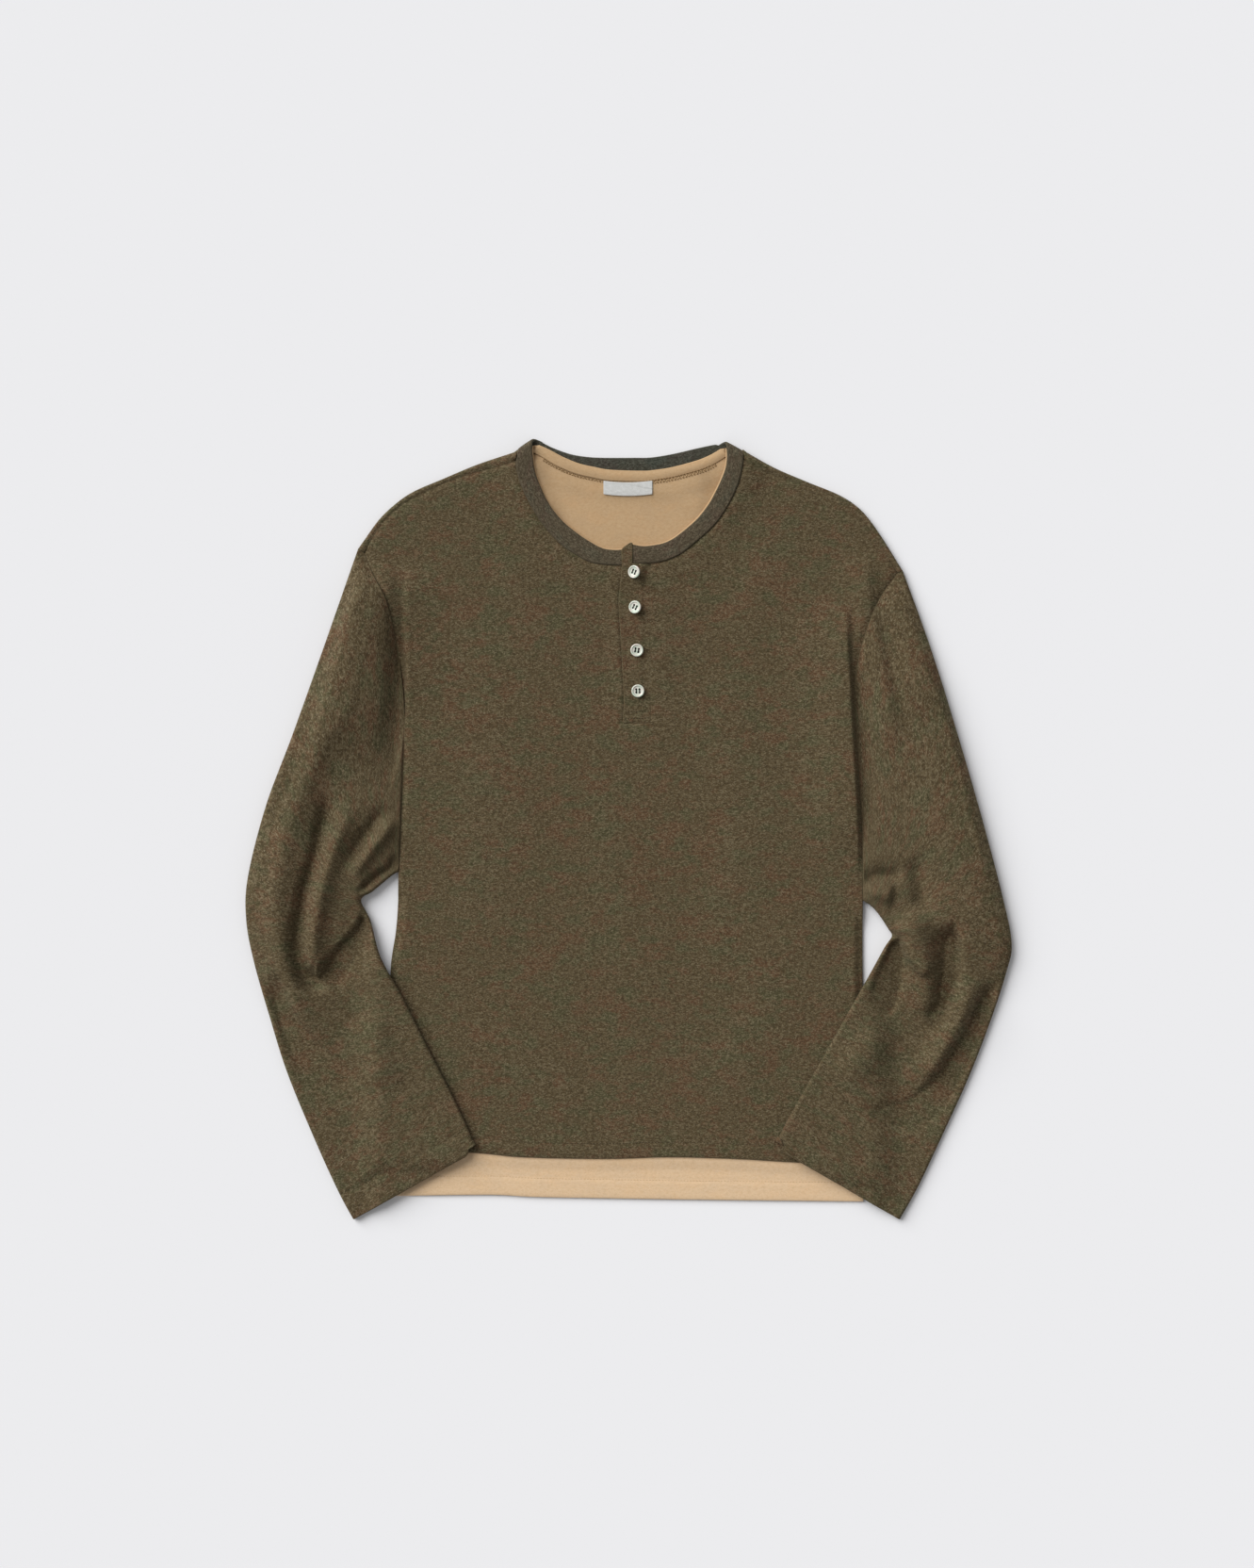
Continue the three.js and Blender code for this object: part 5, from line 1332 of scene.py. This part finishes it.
def make_melange():
    """Mottled yarn: wide soft patches, streaks along the rows and short light fibres at many angles."""
    tree, given, out = new_group(
        "melange_yarn",
        [
            ("Place", "NodeSocketVector", None), ("Ground", "NodeSocketColor", srgb(84, 71, 49)),
            ("Warm Patch", "NodeSocketColor", srgb(93, 68, 48)),
            ("Cool Patch", "NodeSocketColor", srgb(76, 74, 50)),
            ("Light Fibre", "NodeSocketColor", srgb(138, 126, 100)),
            ("Dark Fibre", "NodeSocketColor", srgb(46, 37, 25)),
            ("Patch Strength", "NodeSocketFloat", 0.85), ("Fibre Strength", "NodeSocketFloat", 0.66),
        ],
        [("Color", "NodeSocketColor"), ("Height", "NodeSocketFloat"), ("Roughness", "NodeSocketFloat")],
    )
    place = given["Place"]
    warm = spread(tree, stretched_noise(tree, place, (40, 66, 50), detail=4.0, roughness=0.65), 0.5, 0.6)
    cool = stretched_noise(tree, place, (46, 78, 50), detail=4.0, roughness=0.65, shift=7.3)
    cool = spread(tree, cool, 0.5, 0.62)
    streak = stretched_noise(tree, place, (300, 470, 300), detail=3.0, shift=3.1)
    colour = tint(tree, warm, given["Patch Strength"], given["Ground"], given["Warm Patch"])
    colour = tint(tree, cool, given["Patch Strength"], colour, given["Cool Patch"])
    dark = spread(tree, streak, 0.52, 0.3)
    colour = tint(tree, dark, 0.45, colour, given["Dark Fibre"])
    fibres = spread(tree, streak, 0.52, 0.78)
    for turn, shift in ((0.35, 1.7), (1.25, 4.9), (-0.6, 8.8), (2.2, 12.4)):
        one = stretched_noise(tree, place, (430, 1050, 500), detail=1.0, turn=turn, shift=shift)
        fibres = math_node(tree, "MAXIMUM", fibres, spread(tree, one, 0.6, 0.75))
    colour = tint(tree, fibres, given["Fibre Strength"], colour, given["Light Fibre"])
    specks = spread(tree, stretched_noise(tree, place, (780, 860, 700), detail=1.0, shift=5.0), 0.5, 0.32)
    specks = math_node(tree, "MULTIPLY", specks, 0.75)
    colour = tint(tree, specks, given["Fibre Strength"], colour, given["Dark Fibre"])
    flecks = spread(tree, stretched_noise(tree, place, (420, 560, 400), detail=1.0, shift=9.4), 0.69, 0.77)
    colour = tint(tree, flecks, given["Fibre Strength"], colour, given["Light Fibre"])
    tree.links.new(colour, out["Color"])
    fuzz = math_node(
        tree, "ADD", math_node(tree, "MULTIPLY", fibres, 0.5), math_node(tree, "MULTIPLY", streak, 0.5)
    )
    tree.links.new(fuzz, out["Height"])
    tree.links.new(math_node(tree, "ADD", math_node(tree, "MULTIPLY", fibres, -0.08), 0.97), out["Roughness"])
    return tree


def make_knit_rows():
    """Jersey loops: ribs along the cloth, broken into rows of slanting stitches, with painted shade that
    darkens the loops' hollows.
    """
    tree, given, out = new_group(
        "knit_rows",
        [
            ("Place", "NodeSocketVector", None), ("Ribs Per Metre", "NodeSocketFloat", 900.0),
            ("Rows Per Metre", "NodeSocketFloat", 1100.0),
        ],
        [("Height", "NodeSocketFloat"), ("Shade", "NodeSocketFloat")],
    )
    parts = add_node(tree, "ShaderNodeSeparateXYZ", {0: given["Place"]}).outputs
    wobble = stretched_noise(tree, given["Place"], (60, 60, 60), detail=1.0)
    ribs = math_node(tree, "MULTIPLY", parts[0], given["Ribs Per Metre"])
    ribs = math_node(tree, "ADD", ribs, math_node(tree, "MULTIPLY", wobble, 1.5))
    rows = math_node(tree, "MULTIPLY", parts[1], given["Rows Per Metre"])
    rows = math_node(tree, "ADD", rows, math_node(tree, "MULTIPLY", wobble, 1.2))
    half = math_node(tree, "ABSOLUTE", math_node(tree, "SUBTRACT", math_node(tree, "FRACT", ribs), 0.5))
    slant = math_node(tree, "FRACT", math_node(tree, "ADD", rows, math_node(tree, "MULTIPLY", half, 1.3)))
    loop = math_node(tree, "SINE", math_node(tree, "MULTIPLY", slant, math.pi))
    rib = math_node(tree, "SINE", math_node(tree, "MULTIPLY", half, 2 * math.pi))
    height = math_node(tree, "MULTIPLY", math_node(tree, "ABSOLUTE", rib), loop)
    tree.links.new(height, out["Height"])
    # Shade: colour made darker where the loops dip, painted shade in the knit's hollows
    tree.links.new(math_node(tree, "ADD", math_node(tree, "MULTIPLY", height, 0.16), 0.9), out["Shade"])
    return tree


MELANGE = make_melange()
KNIT = make_knit_rows()


def group_node(tree, group, values):
    node = tree.nodes.new("ShaderNodeGroup")
    node.node_tree = group
    for key, value in values.items():
        if isinstance(value, bpy.types.NodeSocket):
            tree.links.new(value, node.inputs[key])
        else:
            node.inputs[key].default_value = value
    return node.outputs


def new_material(name):
    material = bpy.data.materials.new(name)
    material.use_nodes = True
    tree = material.node_tree
    tree.nodes.clear()
    shader = tree.nodes.new("ShaderNodeBsdfPrincipled")
    output = tree.nodes.new("ShaderNodeOutputMaterial")
    tree.links.new(shader.outputs[0], output.inputs[0])
    return material, tree, shader


def cloth_material(name, melange, knit, sheen, sheen_tint, bump, wrong_side_and_shade=None):
    """Knitted cloth: yarn colour, knit rows and a brushed nap, and a tint where a wrong side shows: its
    greener colour, and painted shade that darkens it.
    """
    material, tree, shader = new_material(name)
    place = add_node(tree, "ShaderNodeAttribute", attribute_name="cloth_place").outputs["Vector"]
    yarn = group_node(tree, MELANGE, {"Place": place, **melange})
    loops = group_node(tree, KNIT, {"Place": place, **knit})
    # The knit's painted shade darkens the yarn colour in the loops' hollows
    shade = mix_colour(tree, 1.0, yarn["Color"], loops["Shade"], blend="MULTIPLY")
    # Where the band's back run shows its wrong side, the colour turns greener and darker: the wrong side's
    # own colour, and painted shade
    if wrong_side_and_shade is not None:
        depth = add_node(tree, "ShaderNodeSeparateXYZ", {0: place}).outputs[2]
        shade = mix_colour(tree, spread(tree, depth, 0.02, -0.02), shade, wrong_side_and_shade, blend="MULTIPLY")
    tree.links.new(shade, shader.inputs["Base Color"])
    tree.links.new(yarn["Roughness"], shader.inputs["Roughness"])
    height = math_node(tree, "ADD", loops["Height"], math_node(tree, "MULTIPLY", yarn["Height"], 0.8))
    relief = add_node(tree, "ShaderNodeBump", {"Strength": bump, "Distance": 0.0004, "Height": height})
    tree.links.new(relief.outputs[0], shader.inputs["Normal"])
    shader.inputs["Specular IOR Level"].default_value = 0.15
    shader.inputs["Sheen Weight"].default_value = sheen
    shader.inputs["Sheen Roughness"].default_value = 0.5
    shader.inputs["Sheen Tint"].default_value = sheen_tint
    return material


olive = cloth_material(
    "olive_melange_jersey", {}, {}, sheen=0.12, sheen_tint=srgb(190, 180, 150), bump=0.35,
)
olive_band = cloth_material(
    "olive_band_jersey",
    {
        "Ground": srgb(78, 69, 54), "Warm Patch": srgb(82, 67, 55), "Cool Patch": srgb(75, 72, 58),
        "Light Fibre": srgb(124, 113, 92),
    },
    {}, sheen=0.12, sheen_tint=srgb(190, 180, 150), bump=0.35, wrong_side_and_shade=(0.68, 0.84, 1.0, 1.0),
)
tan_hem_cloth = cloth_material(
    "tan_hem_jersey",
    {
        "Ground": srgb(224, 193, 156), "Warm Patch": srgb(226, 191, 150), "Cool Patch": srgb(217, 189, 156),
        "Light Fibre": srgb(234, 210, 178), "Dark Fibre": srgb(203, 171, 132), "Patch Strength": 0.5,
        "Fibre Strength": 0.3,
    },
    {"Ribs Per Metre": 1000.0, "Rows Per Metre": 1250.0},
    sheen=0.1, sheen_tint=srgb(240, 220, 190), bump=0.3,
)
# The tan of the back's inside and of its neckband is the hem's tan cloth painted darker: painted shade for
# the hollow inside the neck
tan = cloth_material(
    "tan_jersey",
    {
        "Ground": srgb(191, 160, 122), "Warm Patch": srgb(194, 158, 117), "Cool Patch": srgb(185, 156, 121),
        "Light Fibre": srgb(210, 184, 150), "Dark Fibre": srgb(176, 144, 106), "Patch Strength": 0.5,
        "Fibre Strength": 0.25,
    },
    {"Ribs Per Metre": 1000.0, "Rows Per Metre": 1250.0},
    sheen=0.1, sheen_tint=srgb(240, 220, 190), bump=0.3,
)


def make_thread_material(name, colour, second):
    material, tree, shader = new_material(name)
    place = add_node(tree, "ShaderNodeTexCoord").outputs["Object"]
    twist = add_node(tree, "ShaderNodeTexNoise", {"Vector": place, "Scale": 2500.0, "Detail": 1.0}).outputs[0]
    tree.links.new(
        mix_colour(tree, spread(tree, twist, 0.35, 0.65), colour, second), shader.inputs["Base Color"]
    )
    shader.inputs["Roughness"].default_value = 0.8
    shader.inputs["Specular IOR Level"].default_value = 0.1
    return material


def make_label_material():
    """Woven tape: soft clouds of grey, and fine warp and weft that darken it where the weave dips."""
    material, tree, shader = new_material("label_tape")
    place = add_node(tree, "ShaderNodeAttribute", attribute_name="cloth_place").outputs["Vector"]
    parts = add_node(tree, "ShaderNodeSeparateXYZ", {0: place}).outputs
    warp = math_node(tree, "SINE", math_node(tree, "MULTIPLY", parts[0], 15000.0))
    weft = math_node(tree, "SINE", math_node(tree, "MULTIPLY", parts[1], 19000.0))
    weave = math_node(tree, "MULTIPLY", warp, weft)
    cloud = stretched_noise(tree, place, (260, 420, 300), detail=3.0)
    colour = mix_colour(tree, spread(tree, cloud, 0.35, 0.7), srgb(196, 196, 192), srgb(212, 212, 210))
    colour = mix_colour(tree, spread(tree, weave, -0.2, -1.0), colour, srgb(176, 176, 172))
    tree.links.new(colour, shader.inputs["Base Color"])
    relief = add_node(tree, "ShaderNodeBump", {"Strength": 0.25, "Distance": 0.0002, "Height": weave})
    tree.links.new(relief.outputs[0], shader.inputs["Normal"])
    shader.inputs["Roughness"].default_value = 0.6
    shader.inputs["Sheen Weight"].default_value = 0.1
    return material


def make_shell_material():
    """Pale shell with soft clouds of green and pink."""
    material, tree, shader = new_material("pale_shell")
    place = add_node(tree, "ShaderNodeTexCoord").outputs["Object"]
    clouds = {"Vector": place, "Scale": 190.0, "Detail": 2.0, "Distortion": 1.2}
    layers = add_node(tree, "ShaderNodeTexNoise", clouds).outputs[0]
    drift = add_node(tree, "ShaderNodeTexNoise", {"Vector": place, "Scale": 320.0, "Detail": 1.0}).outputs[0]
    colour = mix_colour(tree, spread(tree, layers, 0.42, 0.62), srgb(192, 205, 188), srgb(216, 210, 200))
    colour = mix_colour(tree, spread(tree, drift, 0.55, 0.75), colour, srgb(216, 197, 188))
    tree.links.new(colour, shader.inputs["Base Color"])
    relief = add_node(tree, "ShaderNodeBump", {"Strength": 0.1, "Distance": 0.0002, "Height": layers})
    tree.links.new(relief.outputs[0], shader.inputs["Normal"])
    shader.inputs["Roughness"].default_value = 0.28
    shader.inputs["Coat Weight"].default_value = 0.5
    shader.inputs["Coat Roughness"].default_value = 0.12
    return material


olive_thread = make_thread_material("olive_thread", srgb(58, 50, 37), srgb(74, 64, 47))
tan_thread = make_thread_material("tan_seam_thread", srgb(112, 86, 54), srgb(138, 110, 74))
hem_thread = make_thread_material("tan_hem_thread", srgb(186, 156, 120), srgb(204, 176, 140))
# Near-black thread: the thread's own colour, and painted shade where it fills the buttons' holes
button_thread_and_hole_shade = make_thread_material("button_thread_and_hole_shade", srgb(9, 9, 8), srgb(18, 17, 15))
label_tape = make_label_material()
pale_shell = make_shell_material()


# Stitch rows

def stitch_row(name, line, height_at, pitch, length, radius, material, lift=0.15, zigzag=0.0):
    """Row of single stitches along a line, each sinking into the cloth at both ends."""
    line = np.asarray(line, float)
    total = np.sum(np.linalg.norm(np.diff(line, axis=0), axis=1))
    count = max(2, int(total / pitch))
    middles = (np.arange(count) + 0.5) / count
    half = length / 2 / total
    offsets = np.array([-1, -0.6, 0, 0.6, 1.0])
    rises = np.array([-0.35, 0.05, lift, 0.05, -0.35])
    spots = along(line, (middles[:, None] + offsets * half).ravel())
    if zigzag:
        moved = [offset_line(line, zigzag), offset_line(line, -zigzag)]
        sides = [along(side, (middles[:, None] + offsets * half).ravel()) for side in moved]
        mix = np.tile((offsets + 1) / 2, count)[:, None]
        flip = np.repeat(np.arange(count) % 2 == 0, 5)[:, None]
        spots = np.where(flip, sides[0] * mix + sides[1] * (1 - mix), sides[1] * mix + sides[0] * (1 - mix))
    heights = height_at(spots) + np.tile(rises, count)
    runs = with_height(spots, heights).reshape(count, 5, 3)
    points, quads = thread_mesh(runs, radius)
    piece = make_piece(name, points, quads)
    piece.data.materials.append(material)
    return piece


# Making the pieces

def dress(piece, nodes, material=None):
    if material is not None:
        piece.data.materials.clear()
        piece.data.materials.append(material)
    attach(piece, "root")
    if nodes:
        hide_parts(*nodes)
    return piece


front = dress(make_front(), ["front"], olive)
back = dress(make_back(), ["back"], olive)
neckband = dress(make_neckband(), ["neckband"], olive_band)
inner_neckband = dress(make_inner_neckband(), ["inner_neckband"], tan)
inner_front = dress(
    make_inner_panel(
        "inner_front_cloth", offset_line(TAN_NECK_SEAM, -INNER_FRONT_NECK_GAP)[8:-8], inner_front_height,
    ),
    ["inner_front"], tan_hem_cloth,
)
# The inner back wears the darker tan, which carries painted shade
inner_back = dress(
    make_inner_panel(
        "inner_back_cloth", offset_line(INNER_BACK_SEAM, -INNER_BACK_NECK_GAP)[2:-2], inner_back_height,
    ),
    ["inner_back"], tan,
)
placket_upper = dress(make_placket_upper(), ["placket_upper"], olive)
placket_lower = dress(make_placket_lower(), ["placket_lower"], olive_band)
label = dress(make_label(), ["neck_label"], label_tape)
tips = [shoulder_at(table, np.array([0.0]))[0][0] for table in (SHOULDER_RIGHT, SHOULDER_LEFT)]
sleeve_right = dress(
    make_sleeve("sleeve_right_cloth", SLEEVE_RIGHT, FOLDS_RIGHT, ARMHOLE_RIGHT, tips[0]),
    ["sleeve_right"], olive,
)
sleeve_left = dress(
    make_sleeve("sleeve_left_cloth", SLEEVE_LEFT, FOLDS_LEFT, ARMHOLE_LEFT, tips[1]),
    ["sleeve_left"], olive,
)
for number in range(len(BUTTONS)):
    dress(make_button(number), [f"button_{number + 1}"], pale_shell)
    dress(make_button_thread_and_hole_shade(number), [], button_thread_and_hole_shade)

# Stitch rows of the hems, the placket's lower end and the tan back neck
hem_line = smooth_line(OLIVE_HEM, 200)[4:-4]
dress(stitch_row(
    "olive_hem_stitches", hem_line + (0, OLIVE_HEM_STITCH), front_height, 2.9, 2.2, 0.28, olive_thread,
    lift=0.1,
), [])
tan_line = smooth_line(TAN_HEM, 200)[5:-5]
dress(stitch_row(
    "tan_hem_stitches", tan_line + (0, TAN_HEM_STITCH), inner_front_height, 2.8, 2.1, 0.28, hem_thread,
    lift=0.1,
), [])
for number, y in enumerate((99.4, 105.6)):
    dress(stitch_row(
        f"placket_end_stitches_{number + 1}", np.array([(-4.2, y), (PLACKET_RIGHT - 0.8, y + 0.8)]),
        placket_height, 2.3, 1.8, 0.3, olive_thread, lift=0.08,
    ), [])
neck_line = offset_line(INNER_BACK_SEAM, -0.6)[5:-5]
inner_neck_height = lambda plan: np.maximum(inner_back_height(plan), 4.35) + 0.1
for number, away in enumerate((1.5, -1.5)):
    dress(stitch_row(
        f"back_neck_stitches_{number + 1}", offset_line(neck_line, away), inner_neck_height, 2.6, 1.9, 0.36,
        tan_thread, lift=0.3,
    ), [])
dress(stitch_row(
    "back_neck_cover_stitches", neck_line, inner_neck_height, 1.7, 1.4, 0.26, tan_thread, lift=0.25,
    zigzag=1.3,
), [])


# Floor, light and camera

FLOOR_REACH = 3000
floor_points = FLOOR_REACH * np.array([(-1, -1, 0), (1, -1, 0), (1, 1, 0), (-1, 1, 0)], float)
floor = make_piece("pale_floor", floor_points, np.array([[0, 1, 2, 3]]))
floor_material, floor_tree, floor_shader = new_material("pale_paper")
floor_shader.inputs["Base Color"].default_value = srgb(237, 237, 239)
floor_shader.inputs["Roughness"].default_value = 0.9
floor_shader.inputs["Specular IOR Level"].default_value = 0.1
floor.data.materials.append(floor_material)

world = bpy.data.worlds.new("soft_room")
scene.world = world
world.use_nodes = True
world.node_tree.nodes["Background"].inputs[0].default_value = (1.0, 1.0, 1.0, 1)
world.node_tree.nodes["Background"].inputs[1].default_value = 0.34


def add_sun(name, direction, strength, spread_angle):
    data = bpy.data.lights.new(name, "SUN")
    data.energy = strength
    data.angle = math.radians(spread_angle)
    light = bpy.data.objects.new(name, data)
    scene.collection.objects.link(light)
    x, y, z = direction
    light.rotation_euler = (math.atan2(math.hypot(x, y), z), 0, math.atan2(y, x) + math.pi / 2)
    return light


add_sun("upper_left_soft_light", (-0.85, 0.72, 0.8), 3.5, 50)

camera_data = bpy.data.cameras.new("camera")
camera_data.sensor_width = 36
camera_data.lens = 36 * VIEW_DISTANCE / VIEW_HEIGHT
camera_data.clip_end = 20
camera = bpy.data.objects.new("camera", camera_data)
camera.location = (VIEW_CENTRE[0] * MM, VIEW_CENTRE[1] * MM, VIEW_DISTANCE * MM)
scene.collection.objects.link(camera)
scene.camera = camera
scene.view_settings.view_transform = "Standard"
